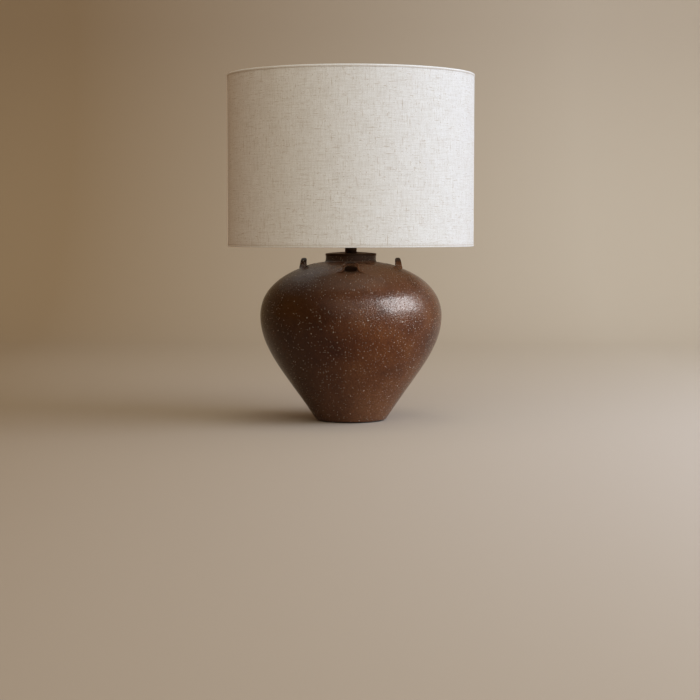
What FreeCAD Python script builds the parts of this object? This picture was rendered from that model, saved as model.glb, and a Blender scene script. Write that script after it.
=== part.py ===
import FreeCAD, Part
import math
import os

# Table lamp with a stoneware jar base and a linen drum shade.
# Lengths are in millimetres. Z is up, the lamp stands on z = 0 and its front faces -Y.

V = FreeCAD.Vector
ORIGIN = V(0, 0, 0)
UP = V(0, 0, 1)
os.makedirs("parts", exist_ok=True)

# Overrun of every cutting shape past the face that it cuts
overrun = 1.0

# Felt pad
felt_thickness = 2.0
felt_inset = 1.0

# Jar, with heights from its own underside
foot_radius = 72.0
foot_corner = 3.0
belly_radius = 185.0
belly_height = 212.0
neck_radius = 51.1
neck_height = 15.8
neck_root_round = 4.0
lip_radius = 50.5
lip_height = 337.3
lip_band = 5.0
jar_wall = 8.0
neck_wall = 8.0
floor_thickness = 10.0
recess_radius = 50.0
recess_depth = 14.0
foot_handle_shares = (0.51, 0.42)
belly_handle_shares = (0.33, 0.775)
shoulder_handle_shares = (0.165, 0.016)

# Strap lugs on the shoulder, with heights from the shoulder under their middle
side_lug_reach = 98.0
front_lug_reach = 112.0
lug_height = 19.0
lug_leg_height = 9.0
lug_width = 33.0
lug_hole_width = 25.0
lug_hole_height = 15.5
lug_spread = 58.0
lug_foot_depth = 15.0
lug_top_depth = 9.0
lug_root = 12.0
lug_flare_shares = (0.72, 0.4)
lug_spring_share = 0.4
lug_lean_share = 0.15

# Cord grommet in the back of the jar
cord_height = 32.0
cord_hole_radius = 6.5
grommet_bore_radius = 3.8
grommet_flange_radius = 9.5
grommet_flange = 2.2
grommet_tail = 3.5
grommet_barb = 1.0

# Threaded rod and the fits around it
rod_radius = 4.95
rod_bore_radius = 3.25
rod_fit = 0.15
rod_tail = 2.0

# Clamping hardware under the floor
washer_radius = 19.0
washer_thickness = 1.5
lock_washer_radius = 8.5
lock_washer_thickness = 1.6
lock_washer_split = 1.2
nut_across_flats = 16.0
nut_thickness = 5.0
nut_round_share = 0.96

# Vase cap
cap_sheet = 1.2
cap_skirt_sheet = 1.0
cap_skirt = 4.7
cap_fit = 0.4
cap_rise = 3.2
cap_edge = 1.5
cap_crown_shares = (0.48, 0.66)
cap_hub_margin = 1.0

# Rubber centring bung in the neck
bung_fit = 0.3
bung_thickness = 10.0

# Neck tube and its top washer
tube_radius = 12.0
tube_wall = 1.5
tube_length = 73.0
tube_washer_thickness = 2.5
tube_washer_margin = 1.0

# Harp saddle
saddle_sheet = 1.8
saddle_width = 14.0
saddle_half_span = 24.0
saddle_rise = 10.0
ledge_width = 10.4
prong_width = 4.0
prong_height = 12.0
prong_offset = 4.5
ledge_margin = 0.4

# Harp and its swivel stud
harp_height = 254.0
harp_half_width = 58.0
harp_wire_radius = 1.7
harp_fit = 0.3
harp_leg = 44.0
harp_flare = 45.0
harp_side = 90.0
harp_top_half = 16.0
harp_bends = (30.0, 50.0, 50.0, 25.0)
bush_radius = 5.0
bush_height = 5.0
stud_pin_radius = 2.5
stud_running_fit = 0.05
stud_flange_radius = 6.5
stud_flange = 2.0
stud_rivet_radius = 4.2
stud_rivet = 1.2
stud_gap = 0.3
stud_radius = 3.175
stud_length = 11.0

# Sleeves that lock the harp on the saddle
sleeve_length = 14.0
sleeve_wall = 1.1
sleeve_taper = 0.5

# Lamp holder
socket_hub_radius = 8.0
socket_hub_height = 7.0
socket_cap_height = 20.0
socket_cone_share = 0.8
socket_sheet = 0.8
socket_radius = 17.0
socket_fit = 0.1
socket_shell_height = 52.0
socket_lap = 6.0
socket_bead = 0.6
insulator_sheet = 0.8
insulator_step = 1.0
holder_fit = 0.2
holder_height = 20.0
holder_lift = 2.0
screw_shell_sheet = 0.7
screw_shell_height = 24.0
screw_shell_hole = 8.0
contact_rise = 3.0
contact_sheet = 0.5
contact_width = 6.0
contact_length = 12.0
contact_foot_shares = (0.33, 0.6)
terminal_head_radius = 3.0
terminal_head = 2.2
terminal_shank_radius = 1.5
terminal_shank = 6.0
terminal_pocket = 1.0

# Rotary switch
shaft_radius = 2.0
shaft_fit = 0.05
shaft_depth = 11.0
shaft_hole_gap = 1.2
knob_radius = 6.0
knob_length = 12.0
knob_gap = 2.0
knob_wall = 3.0
knob_flutes = 14
knob_flute_radius = 0.8

# Bulb
bulb_gap = 0.3
bulb_radius = 30.0
bulb_length = 110.0
bulb_button_radius = 4.5
bulb_button = 1.2
bulb_cone = 3.2
bulb_cone_radius = 10.5
bulb_cap_radius = 13.1
bulb_cap_sheet = 0.5
bulb_thread_depth = 0.7
bulb_thread_pitch = 3.63
bulb_threads = 5
bulb_skirt = 5.0
bulb_seal = 7.0
bulb_glass = 0.8
bulb_neck_shares = (0.36, 0.62)
bulb_sphere_share = 0.2
stem_radius = 3.0
stem_height = 42.0
stem_flare = 4.0
stem_foot_radius = 5.5
filament_radius = 0.4
filament_half = 12.0
filament_rise = 26.0
filament_bend = 3.0

# Shade
shade_radius = 250.0
shade_height = 345.0
hem_sheet = 0.6
hem_outside = 5.0
hem_inside = 4.6
hem_round_share = 1.0
linen_sheet = 0.8
liner_sheet = 1.0
ring_wire_radius = 1.6
arm_wire_radius = 1.3
arm_count = 3
arm_first_angle = 90.0
arm_bend = 12.0
arm_flat = 12.0
arm_notch = 0.2
spider_drop = 21.2
spider_hub_radius = 14.0
spider_hub = 1.6
spider_fit = 0.3

# Finial
finial_height = 22.0
finial_base_radius = 7.0
finial_base = 3.0
finial_neck_radius = 4.6
finial_neck = 5.0
finial_waist_share = 0.85
finial_ball_radius = 7.6
finial_fit = 0.3
finial_bore_extra = 1.5

# Heights of the stack, from the ground up
jar_bottom = felt_thickness
jar_floor_under = jar_bottom + recess_depth
jar_floor_top = jar_floor_under + floor_thickness
jar_lip = jar_bottom + lip_height
washer_bottom = jar_floor_under - washer_thickness
lock_washer_bottom = washer_bottom - lock_washer_thickness
nut_bottom = lock_washer_bottom - nut_thickness
rod_bottom = nut_bottom - rod_tail
cap_edge_top = jar_lip + cap_sheet
cap_top = cap_edge_top + cap_rise
tube_top = cap_top + tube_length
saddle_bottom = tube_top + tube_washer_thickness
saddle_top = saddle_bottom + saddle_sheet
ledge_top = saddle_top + saddle_rise
rod_top = saddle_top + socket_hub_height
seat = saddle_top + harp_height
bush_top = seat - stud_flange
bush_bottom = bush_top - bush_height
hub_top = seat + spider_hub
ring_height = hub_top + spider_drop
shade_top = ring_height + ring_wire_radius + hem_sheet
shade_bottom = shade_top - shade_height

# Radii and places that several pieces share
rod_hole_radius = rod_radius + rod_fit
neck_bore_radius = lip_radius - neck_wall
prong_inner = saddle_half_span + prong_offset - saddle_sheet
prong_outer = saddle_half_span + prong_offset
leg_reach = prong_outer + harp_fit + harp_wire_radius
sleeve_reach = (prong_inner + leg_reach + harp_wire_radius) / 2
sleeve_half_gap = sleeve_reach - prong_inner
sleeve_bore_radius = math.hypot(sleeve_half_gap, prong_width / 2) + harp_fit
sleeve_radius = sleeve_bore_radius + sleeve_wall
shell_bottom = saddle_top + socket_cap_height - socket_lap
shell_top = shell_bottom + socket_shell_height
shell_bore_radius = socket_radius - socket_sheet
insulator_radius = shell_bore_radius - socket_fit
insulator_bore_radius = insulator_radius - insulator_sheet
holder_radius = insulator_bore_radius - holder_fit
holder_bottom = shell_bottom + holder_lift
holder_top = holder_bottom + holder_height
switch_height = holder_bottom + holder_height / 2
contact_top = holder_top + contact_rise
bulb_bottom = contact_top + bulb_gap
screw_shell_radius = bulb_cap_radius + bulb_gap + screw_shell_sheet
linen_radius = shade_radius - hem_sheet
liner_radius = linen_radius - linen_sheet
liner_bore_radius = liner_radius - liner_sheet
ring_radius = liner_bore_radius - ring_wire_radius
hem_bore_radius = ring_radius - ring_wire_radius - hem_sheet


def at(radius, height):
    return V(radius, 0, height)


def line(start, end):
    return Part.makeLine(start, end)


def arc(start, middle, end):
    return Part.Arc(start, middle, end).toShape()


def chain(points):
    return [line(a, b) for a, b in zip(points, points[1:])]


def turned(edges):
    face = Part.Face(Part.Wire(edges))
    return face.revolve(ORIGIN, UP, 360)


def turned_from(points):
    return turned(chain(points + points[:1]))


def disc(radius, bottom, top):
    return Part.makeCylinder(radius, top - bottom, at(0, bottom), UP)


def ring(outer, inner, bottom, top):
    return disc(outer, bottom, top).cut(disc(inner, bottom - overrun, top + overrun))


def box(x_low, x_high, y_low, y_high, z_low, z_high):
    corner = V(x_low, y_low, z_low)
    return Part.makeBox(x_high - x_low, y_high - y_low, z_high - z_low, corner)


def about_axis(shape, degrees):
    turned_shape = shape.copy()
    turned_shape.rotate(ORIGIN, UP, degrees)
    return turned_shape


def round_edges(shape, radius, height, amount):
    picked = []
    for edge in shape.Edges:
        is_circle = edge.Curve.TypeId == "Part::GeomCircle"
        if is_circle and abs(edge.Curve.Radius - radius) < Part.Precision.confusion() * 10:
            if abs(edge.Curve.Center.z - height) < Part.Precision.confusion() * 10:
                picked.append(edge)
    return shape.makeFillet(amount, picked)


def bent_path(points, bends):
    # Straight runs joined by tangent arcs, one bend radius for each inner point
    edges = []
    start = points[0]
    for before, corner, after, bend in zip(points, points[1:], points[2:], bends):
        arriving = (corner - before).normalize()
        leaving = (after - corner).normalize()
        half_turn = arriving.getAngle(leaving) / 2
        setback = bend * math.tan(half_turn)
        inward = (leaving - arriving).normalize()
        arc_start = corner - arriving * setback
        arc_end = corner + leaving * setback
        arc_middle = corner + inward * (bend / math.cos(half_turn) - bend)
        edges.append(line(start, arc_start))
        edges.append(arc(arc_start, arc_middle, arc_end))
        start = arc_end
    edges.append(line(start, points[-1]))
    return Part.Wire(edges)


def bent_wire(points, bends, radius):
    path = bent_path(points, bends)
    section = Part.Wire(Part.makeCircle(radius, points[0], points[1] - points[0]))
    return path.makePipeShell([section], True, False)


def save(node, shape):
    shape.exportStep("parts/" + node + ".step")


def jar_curves(foot, belly, neck, root):
    # One side of the jar: foot to belly, then belly to the root of the neck
    bottom = jar_bottom
    waist = jar_bottom + belly_height
    rise = waist - bottom
    fall = root - waist
    lower = Part.BezierCurve()
    lower.setPoles([
        at(foot, bottom),
        at(foot + foot_handle_shares[0] * (belly - foot), bottom + foot_handle_shares[1] * rise),
        at(belly, waist - belly_handle_shares[0] * rise),
        at(belly, waist),
    ])
    upper = Part.BezierCurve()
    upper.setPoles([
        at(belly, waist),
        at(belly, waist + belly_handle_shares[1] * fall),
        at(neck + shoulder_handle_shares[0] * (belly - neck), root - shoulder_handle_shares[1] * fall),
        at(neck, root),
    ])
    return lower, upper


def point_on_curve(curve, probe):
    # The curve's point on a probe line, and its tangent there
    touch = curve.toShape().distToShape(probe)[1][0][0]
    return touch, curve.tangent(curve.parameter(touch))[0]


jar_root = jar_lip - neck_height
lower_side, upper_side = jar_curves(foot_radius, belly_radius, neck_radius, jar_root)


def make_jar_body():
    # The jar as a solid lump, which also trims what is seated on it
    band_bottom = jar_lip - lip_band
    edges = [line(at(0, jar_bottom), at(foot_radius, jar_bottom))]
    edges.append(lower_side.toShape())
    edges.append(upper_side.toShape())
    edges += chain([
        at(neck_radius, jar_root),
        at(neck_radius, band_bottom),
        at(lip_radius, band_bottom),
        at(lip_radius, jar_lip),
        at(0, jar_lip),
        at(0, jar_bottom),
    ])
    body = turned(edges)
    body = round_edges(body, foot_radius, jar_bottom, foot_corner)
    return round_edges(body, neck_radius, jar_root, neck_root_round)


def make_cavity():
    inner_root = jar_root - jar_wall
    lower, upper = jar_curves(foot_radius - jar_wall, belly_radius - jar_wall, neck_bore_radius, inner_root)
    edges = [line(at(0, jar_bottom), at(foot_radius - jar_wall, jar_bottom))]
    edges.append(lower.toShape())
    edges.append(upper.toShape())
    edges += chain([
        at(neck_bore_radius, inner_root),
        at(neck_bore_radius, jar_lip + overrun),
        at(0, jar_lip + overrun),
        at(0, jar_bottom),
    ])
    floor = disc(belly_radius, jar_bottom - overrun, jar_floor_top)
    return turned(edges).cut(floor)


jar_body = make_jar_body()

# Cord grommet, square to the wall at the back
cord_probe = line(at(0, jar_bottom + cord_height), at(belly_radius * 2, jar_bottom + cord_height))
cord_point, cord_tangent = point_on_curve(lower_side, cord_probe)
cord_out = V(0, cord_tangent.z, -cord_tangent.x)
cord_mouth = V(0, cord_point.x, cord_point.z)


def along_cord(radius, start, end):
    return Part.makeCylinder(radius, end - start, cord_mouth + cord_out * start, cord_out)


def make_grommet(jar):
    tail_end = -(jar_wall + grommet_tail)
    barb_start = tail_end + grommet_tail / 2
    grommet = along_cord(grommet_flange_radius, -jar_wall / 2, grommet_flange).cut(jar_body)
    grommet = grommet.fuse(along_cord(cord_hole_radius, tail_end, grommet_flange))
    grommet = grommet.fuse(along_cord(cord_hole_radius + grommet_barb, tail_end, barb_start).cut(jar))
    grommet = grommet.cut(along_cord(grommet_bore_radius, tail_end - overrun, grommet_flange + overrun))
    return grommet.removeSplitter()


def make_jar():
    jar = jar_body.cut(make_cavity())
    jar = jar.cut(disc(recess_radius, jar_bottom - overrun, jar_floor_under))
    jar = jar.cut(disc(rod_hole_radius, jar_floor_under - overrun, jar_floor_top + overrun))
    reach = jar_wall * 2
    return jar.cut(along_cord(cord_hole_radius, -reach, reach))


jar = make_jar()
save("stoneware_jar", jar)
save("cord_grommet", make_grommet(jar))
save("felt_pad", disc(foot_radius - foot_corner - felt_inset, 0, felt_thickness))

# Strap lugs: an arch with a hole across it, deeper at the foot than at the top
def shoulder_height(reach):
    probe = line(at(reach, jar_bottom), at(reach, jar_lip))
    return point_on_curve(upper_side, probe)[0].z


def make_lug_arch(reach):
    foot = shoulder_height(reach)

    def lug_at(across, height):
        return V(across, 0, foot + height)

    half = lug_width / 2
    hole_half = lug_hole_width / 2
    spread_half = lug_spread / 2
    flare_across = half + (spread_half - half) * (1 - lug_flare_shares[0])
    flare_height = lug_leg_height * lug_flare_shares[1]
    spring = lug_hole_height * lug_spring_share
    outer = chain([
        lug_at(spread_half, 0),
        lug_at(spread_half, -lug_root),
        lug_at(-spread_half, -lug_root),
        lug_at(-spread_half, 0),
    ])
    left = lug_at(-half, lug_leg_height)
    right = lug_at(half, lug_leg_height)
    outer.append(arc(lug_at(-spread_half, 0), lug_at(-flare_across, flare_height), left))
    outer.append(arc(left, lug_at(0, lug_height), right))
    outer.append(arc(right, lug_at(flare_across, flare_height), lug_at(spread_half, 0)))
    hole = chain([
        lug_at(hole_half, spring),
        lug_at(hole_half, -lug_root - overrun),
        lug_at(-hole_half, -lug_root - overrun),
        lug_at(-hole_half, spring),
    ])
    hole.append(arc(lug_at(-hole_half, spring), lug_at(0, lug_hole_height), lug_at(hole_half, spring)))
    through = V(0, reach * 2, 0)
    arch = Part.Face(Part.Wire(outer)).extrude(through)
    return arch.cut(Part.Face(Part.Wire(hole)).extrude(through))


def make_lug_depth(reach):
    # Outline of the lug seen from its end, extruded across it
    foot_half = lug_foot_depth / 2
    top_half = lug_top_depth / 2
    lean = lug_foot_depth * lug_lean_share
    shoulder = lug_height - top_half
    spread = V(lug_spread, 0, 0)
    start = V(-lug_spread / 2, 0, shoulder_height(reach))

    def side_at(outward, height):
        return start + V(0, reach + outward, height)

    edges = chain([
        side_at(top_half - lean, shoulder),
        side_at(foot_half, 0),
        side_at(foot_half, -lug_root),
        side_at(-foot_half, -lug_root),
        side_at(-foot_half, 0),
        side_at(-top_half - lean, shoulder),
    ])
    edges.append(arc(side_at(-top_half - lean, shoulder), side_at(-lean, lug_height),
                     side_at(top_half - lean, shoulder)))
    return Part.Face(Part.Wire(edges)).extrude(spread)


def make_lug(reach):
    return make_lug_arch(reach).common(make_lug_depth(reach)).cut(jar_body)


side_lug = make_lug(side_lug_reach)
front_lug = make_lug(front_lug_reach)
save("lug_left", about_axis(side_lug, 90))
save("lug_right", about_axis(side_lug, 270))
save("lug_back", front_lug)
save("lug_front", about_axis(front_lug, 180))


# Clamping hardware and the threaded rod
def make_lock_washer():
    washer = ring(lock_washer_radius, rod_hole_radius, lock_washer_bottom, washer_bottom)
    half = lock_washer_split / 2
    reach = lock_washer_radius + overrun
    return washer.cut(box(0, reach, -half, half, lock_washer_bottom - overrun, washer_bottom + overrun))


def make_nut():
    corner = nut_across_flats / math.sqrt(3)
    points = []
    for side in range(7):
        angle = math.radians(side * 60)
        points.append(V(corner * math.cos(angle), corner * math.sin(angle), nut_bottom))
    blank = Part.Face(Part.makePolygon(points)).extrude(UP * nut_thickness)
    blank = blank.common(disc(corner * nut_round_share, nut_bottom, lock_washer_bottom))
    return blank.cut(disc(rod_radius, nut_bottom - overrun, lock_washer_bottom + overrun))


save("bottom_washer", ring(washer_radius, rod_hole_radius, washer_bottom, jar_floor_under))
save("lock_washer", make_lock_washer())
save("bottom_nut", make_nut())
save("threaded_rod", ring(rod_radius, rod_bore_radius, rod_bottom, rod_top))


# Vase cap: a low spun dome with a skirt round the lip and a flat land that sits on it
def make_vase_cap():
    skirt_bore = lip_radius + cap_fit
    skirt_radius = skirt_bore + cap_skirt_sheet
    skirt_bottom = cap_edge_top - cap_skirt
    hub = tube_radius + cap_hub_margin
    edge_radius = skirt_radius - cap_edge
    edge_middle = cap_edge * (1 - math.sqrt(0.5))
    crown_radius = edge_radius + cap_crown_shares[0] * (hub - edge_radius)
    crown_height = cap_edge_top + cap_crown_shares[1] * cap_rise
    edges = chain([
        at(skirt_bore, jar_lip),
        at(skirt_bore, skirt_bottom),
        at(skirt_radius, skirt_bottom),
        at(skirt_radius, cap_edge_top - cap_edge),
    ])
    edges.append(arc(at(skirt_radius, cap_edge_top - cap_edge),
                     at(skirt_radius - edge_middle, cap_edge_top - edge_middle),
                     at(edge_radius, cap_edge_top)))
    edges.append(arc(at(edge_radius, cap_edge_top), at(crown_radius, crown_height), at(hub, cap_top)))
    edges += chain([
        at(hub, cap_top),
        at(rod_hole_radius, cap_top),
        at(rod_hole_radius, cap_top - cap_sheet),
        at(hub, cap_top - cap_sheet),
    ])
    edges.append(line(at(hub, cap_top - cap_sheet), at(neck_bore_radius, jar_lip)))
    edges.append(line(at(neck_bore_radius, jar_lip), at(skirt_bore, jar_lip)))
    return turned(edges)


def make_bung():
    hub = tube_radius + cap_hub_margin
    bung = disc(neck_bore_radius - bung_fit, jar_lip - bung_thickness, jar_lip)
    bung = bung.fuse(disc(hub, jar_lip - bung_thickness, cap_top - cap_sheet))
    hole = disc(rod_hole_radius, jar_lip - bung_thickness - overrun, cap_top)
    return bung.cut(hole).removeSplitter()


vase_cap = make_vase_cap()
save("vase_cap", vase_cap)
save("centring_bung", make_bung())
save("neck_tube", ring(tube_radius, tube_radius - tube_wall, cap_top, tube_top))
save("tube_washer", ring(tube_radius + tube_washer_margin, rod_hole_radius, tube_top, saddle_bottom))


# Harp saddle: a strip with two risers, each with a ledge and a prong for a harp leg
def make_saddle():
    half = saddle_width / 2
    span = saddle_half_span
    ledge_half = ledge_width / 2
    ledge_end = sleeve_reach + sleeve_radius + ledge_margin
    saddle = box(-span, span, -half, half, saddle_bottom, saddle_top)
    riser = box(span - saddle_sheet, span, -half, half, saddle_bottom, ledge_top)
    ledge = box(span - saddle_sheet, ledge_end, -ledge_half, ledge_half, ledge_top - saddle_sheet, ledge_top)
    prong = box(prong_inner, prong_outer, -prong_width / 2, prong_width / 2, ledge_top - saddle_sheet,
                ledge_top + prong_height)
    ear = riser.fuse([ledge, prong])
    saddle = saddle.fuse([ear, about_axis(ear, 180)])
    hole = disc(rod_hole_radius, saddle_bottom - overrun, saddle_top + overrun)
    return saddle.cut(hole).removeSplitter()


save("harp_saddle", make_saddle())


# Harp: one wire from foot to foot, with a pierced bush at its top for the stud
def make_harp():
    wire_top = (bush_top + bush_bottom) / 2
    leg_top = ledge_top + harp_leg
    half_points = [
        at(leg_reach, ledge_top),
        at(leg_reach, leg_top),
        at(harp_half_width, leg_top + harp_flare),
        at(harp_half_width, leg_top + harp_flare + harp_side),
        at(harp_top_half, wire_top),
    ]
    mirrored = [at(-point.x, point.z) for point in reversed(half_points)]
    wire = bent_wire(half_points + mirrored, harp_bends + harp_bends[::-1], harp_wire_radius)
    bush = disc(bush_radius, bush_bottom, bush_top)
    hole = disc(stud_pin_radius + stud_running_fit, bush_bottom - overrun, bush_top + overrun)
    return wire.fuse(bush).cut(hole).removeSplitter()


def make_stud():
    rivet_top = bush_bottom - stud_gap
    stud = disc(stud_rivet_radius, rivet_top - stud_rivet, rivet_top)
    stud = stud.fuse(disc(stud_pin_radius, rivet_top - stud_rivet, bush_top))
    stud = stud.fuse(disc(stud_flange_radius, bush_top, seat))
    return stud.fuse(disc(stud_radius, bush_top, hub_top + stud_length)).removeSplitter()


save("harp", make_harp())
save("harp_stud", make_stud())


def make_sleeve(side):
    middle = V(side * sleeve_reach, 0, ledge_top)
    top_radius = sleeve_radius - sleeve_taper
    sleeve = Part.makeCone(sleeve_radius, top_radius, sleeve_length, middle, UP)
    bore_start = middle - UP * overrun
    bore = Part.makeCylinder(sleeve_bore_radius, sleeve_length + overrun * 2, bore_start, UP)
    return sleeve.cut(bore)


save("harp_sleeve_right", make_sleeve(1))
save("harp_sleeve_left", make_sleeve(-1))


# Lamp holder
def make_socket_cap():
    rim_bore = socket_radius + socket_fit
    rim = rim_bore + socket_sheet
    rim_top = saddle_top + socket_cap_height
    cone_top = rod_top + (shell_bottom - rod_top) * socket_cone_share
    return turned_from([
        at(rod_radius, saddle_top),
        at(socket_hub_radius, saddle_top),
        at(socket_hub_radius, rod_top - socket_sheet),
        at(rim, cone_top - socket_sheet),
        at(rim, rim_top),
        at(rim_bore, rim_top),
        at(rim_bore, cone_top),
        at(socket_hub_radius - socket_sheet, rod_top),
        at(rod_radius, rod_top),
    ])


def across_switch(radius, start, end):
    # A cylinder on the switch's axis, from start to end towards the front
    return Part.makeCylinder(radius, end - start, V(0, -start, switch_height), V(0, -1, 0))


def make_socket_shell(hole):
    shell = ring(socket_radius, shell_bore_radius, shell_bottom, shell_top)
    bead = Part.makeTorus(socket_radius - socket_sheet / 2, socket_bead, at(0, shell_top - socket_bead), UP)
    return shell.fuse(bead).cut(hole).removeSplitter()


def make_holder():
    holder = disc(holder_radius, holder_bottom, holder_top)
    pocket_floor = holder_radius - terminal_head - terminal_pocket
    pocket_half = terminal_head_radius + terminal_pocket
    reach = holder_radius + overrun
    for side in (0, 180):
        pocket = box(pocket_floor, reach, -pocket_half, pocket_half, switch_height - pocket_half,
                     switch_height + pocket_half)
        shank = Part.makeCylinder(terminal_shank_radius, terminal_shank,
                                  V(pocket_floor - terminal_shank, 0, switch_height), V(1, 0, 0))
        holder = holder.cut(about_axis(pocket.fuse(shank), side))
    bore_start = holder_radius - shaft_depth - overrun
    return holder.cut(across_switch(shaft_radius + shaft_fit, bore_start, reach))


def make_terminal_screws():
    pocket_floor = holder_radius - terminal_head - terminal_pocket
    start = V(pocket_floor - terminal_shank, 0, switch_height)
    across = V(1, 0, 0)
    head = Part.makeCylinder(terminal_head_radius, terminal_head, V(pocket_floor, 0, switch_height), across)
    shank = Part.makeCylinder(terminal_shank_radius, terminal_shank, start, across)
    screw = head.fuse(shank).removeSplitter()
    return Part.makeCompound([screw, about_axis(screw, 180)])


def make_screw_shell():
    shell = ring(screw_shell_radius, screw_shell_radius - screw_shell_sheet, holder_top,
                 holder_top + screw_shell_height)
    foot = ring(screw_shell_radius, screw_shell_hole, holder_top, holder_top + screw_shell_sheet)
    return shell.fuse(foot).removeSplitter()


def make_centre_contact():
    # A leaf spring: a foot on the holder, a ramp and a raised tongue under the bulb
    half = contact_length / 2
    foot_end = -half + contact_length * contact_foot_shares[0]
    ramp_end = -half + contact_length * contact_foot_shares[1]
    low = holder_top
    high = contact_top
    points = [
        at(-half, low),
        at(foot_end, low),
        at(ramp_end, high - contact_sheet),
        at(half, high - contact_sheet),
        at(half, high),
        at(ramp_end, high),
        at(foot_end, low + contact_sheet),
        at(-half, low + contact_sheet),
    ]
    leaf = Part.Face(Part.makePolygon(points + points[:1])).extrude(V(0, contact_width, 0))
    leaf.translate(V(0, -contact_width / 2, 0))
    return leaf


shaft_hole = across_switch(shaft_radius + shaft_hole_gap, holder_radius, socket_radius + overrun * 2)
save("socket_cap", make_socket_cap())
save("socket_shell", make_socket_shell(shaft_hole))
save("socket_insulator", ring(insulator_radius, insulator_bore_radius, shell_bottom,
                              shell_top - insulator_step).cut(shaft_hole))
save("socket_holder", make_holder())
save("terminal_screws", make_terminal_screws())
save("screw_shell", make_screw_shell())
save("centre_contact", make_centre_contact())

# Rotary switch
knob_start = socket_radius + knob_gap
knob_end = knob_start + knob_length


def make_knob():
    knob = across_switch(knob_radius, knob_start, knob_end)
    flute = Part.makeCylinder(knob_flute_radius, knob_length + overrun * 2,
                              V(0, -knob_start + overrun, switch_height + knob_radius), V(0, -1, 0))
    centre = V(0, 0, switch_height)
    for step in range(knob_flutes):
        cutter = flute.copy()
        cutter.rotate(centre, V(0, 1, 0), 360 * step / knob_flutes)
        knob = knob.cut(cutter)
    return knob.cut(across_switch(shaft_radius, knob_start - overrun, knob_end - knob_wall))


save("switch_shaft", across_switch(shaft_radius, holder_radius - shaft_depth, knob_end - knob_wall))
save("switch_knob", make_knob())

# Bulb, from its tip up
bulb_cone_bottom = bulb_bottom + bulb_button
bulb_cap_bottom = bulb_cone_bottom + bulb_cone
bulb_thread_top = bulb_cap_bottom + bulb_threads * bulb_thread_pitch
bulb_cap_top = bulb_thread_top + bulb_skirt
bulb_seal_bottom = bulb_cap_top - bulb_seal
bulb_top = bulb_bottom + bulb_length
bulb_root_radius = bulb_cap_radius - bulb_thread_depth
bulb_cap_bore = bulb_root_radius - bulb_cap_sheet


def make_bulb_cap():
    edges = [line(at(bulb_cap_bore, bulb_cap_bottom), at(bulb_root_radius, bulb_cap_bottom))]
    for turn in range(bulb_threads):
        low = bulb_cap_bottom + turn * bulb_thread_pitch
        high = low + bulb_thread_pitch
        edges.append(arc(at(bulb_root_radius, low), at(bulb_cap_radius, (low + high) / 2),
                         at(bulb_root_radius, high)))
    edges += chain([
        at(bulb_root_radius, bulb_thread_top),
        at(bulb_root_radius, bulb_cap_top),
        at(bulb_cap_bore, bulb_cap_top),
        at(bulb_cap_bore, bulb_cap_bottom),
    ])
    return turned(edges)


def glass_outline(inset):
    # Neck, flare and dome of the bulb, drawn in by an inset
    neck = bulb_cap_bore - inset
    radius = bulb_radius - inset
    middle = bulb_top - bulb_radius
    low = bulb_cap_top
    belt = middle - radius * bulb_sphere_share
    belt_radius = math.sqrt(radius ** 2 - (middle - belt) ** 2)
    run = belt - low
    flare = Part.BezierCurve()
    slope = (middle - belt) / belt_radius
    reach = run * (1 - bulb_neck_shares[1])
    flare.setPoles([
        at(neck, low),
        at(neck, low + run * bulb_neck_shares[0]),
        at(belt_radius - slope * reach, belt - reach),
        at(belt_radius, belt),
    ])
    shoulder = radius * math.sqrt(0.5)
    dome = arc(at(belt_radius, belt), at(shoulder, middle + shoulder), at(0, middle + radius))
    return [line(at(neck, bulb_seal_bottom), at(neck, low)), flare.toShape(), dome]


def make_envelope():
    outer = glass_outline(0)
    inner = glass_outline(bulb_glass)
    axis = line(at(0, bulb_top), at(0, bulb_top - bulb_glass))
    foot = line(at(bulb_cap_bore, bulb_seal_bottom), at(bulb_cap_bore - bulb_glass, bulb_seal_bottom))
    return turned(Part.__sortEdges__(outer + inner + [axis, foot]))


def make_stem():
    bore = bulb_cap_bore - bulb_glass
    low = bulb_seal_bottom
    return turned_from([
        at(0, low + stem_flare),
        at(0, low + stem_height),
        at(stem_radius, low + stem_height),
        at(stem_foot_radius, low + stem_flare * 2),
        at(bore, low + bulb_glass),
        at(bore, low),
        at(stem_foot_radius, low),
    ])


def make_filament():
    low = bulb_seal_bottom + stem_height
    high = low + filament_rise
    start = stem_radius / 2
    elbow = low + filament_bend
    right = [at(start, low), at(start, elbow), at(filament_half, high)]
    left = [at(-point.x, point.z) for point in right]
    return bent_wire(left + right[::-1], [filament_bend] * 4, filament_radius)


def make_tip_insulator():
    cone = Part.makeCone(bulb_button_radius, bulb_cone_radius, bulb_cone, at(0, bulb_cone_bottom), UP)
    plug = disc(bulb_cap_bore, bulb_cap_bottom, bulb_cap_bottom + bulb_cap_sheet)
    return cone.fuse(plug).removeSplitter()


save("bulb_tip", disc(bulb_button_radius, bulb_bottom, bulb_cone_bottom))
save("bulb_tip_insulator", make_tip_insulator())
save("bulb_cap", make_bulb_cap())
save("bulb_envelope", make_envelope())
save("bulb_stem", make_stem())
save("bulb_filament", make_filament())

# Shade
skin_bottom = shade_bottom + hem_sheet
skin_top = shade_top - hem_sheet
lower_ring_height = skin_bottom + ring_wire_radius


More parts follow.
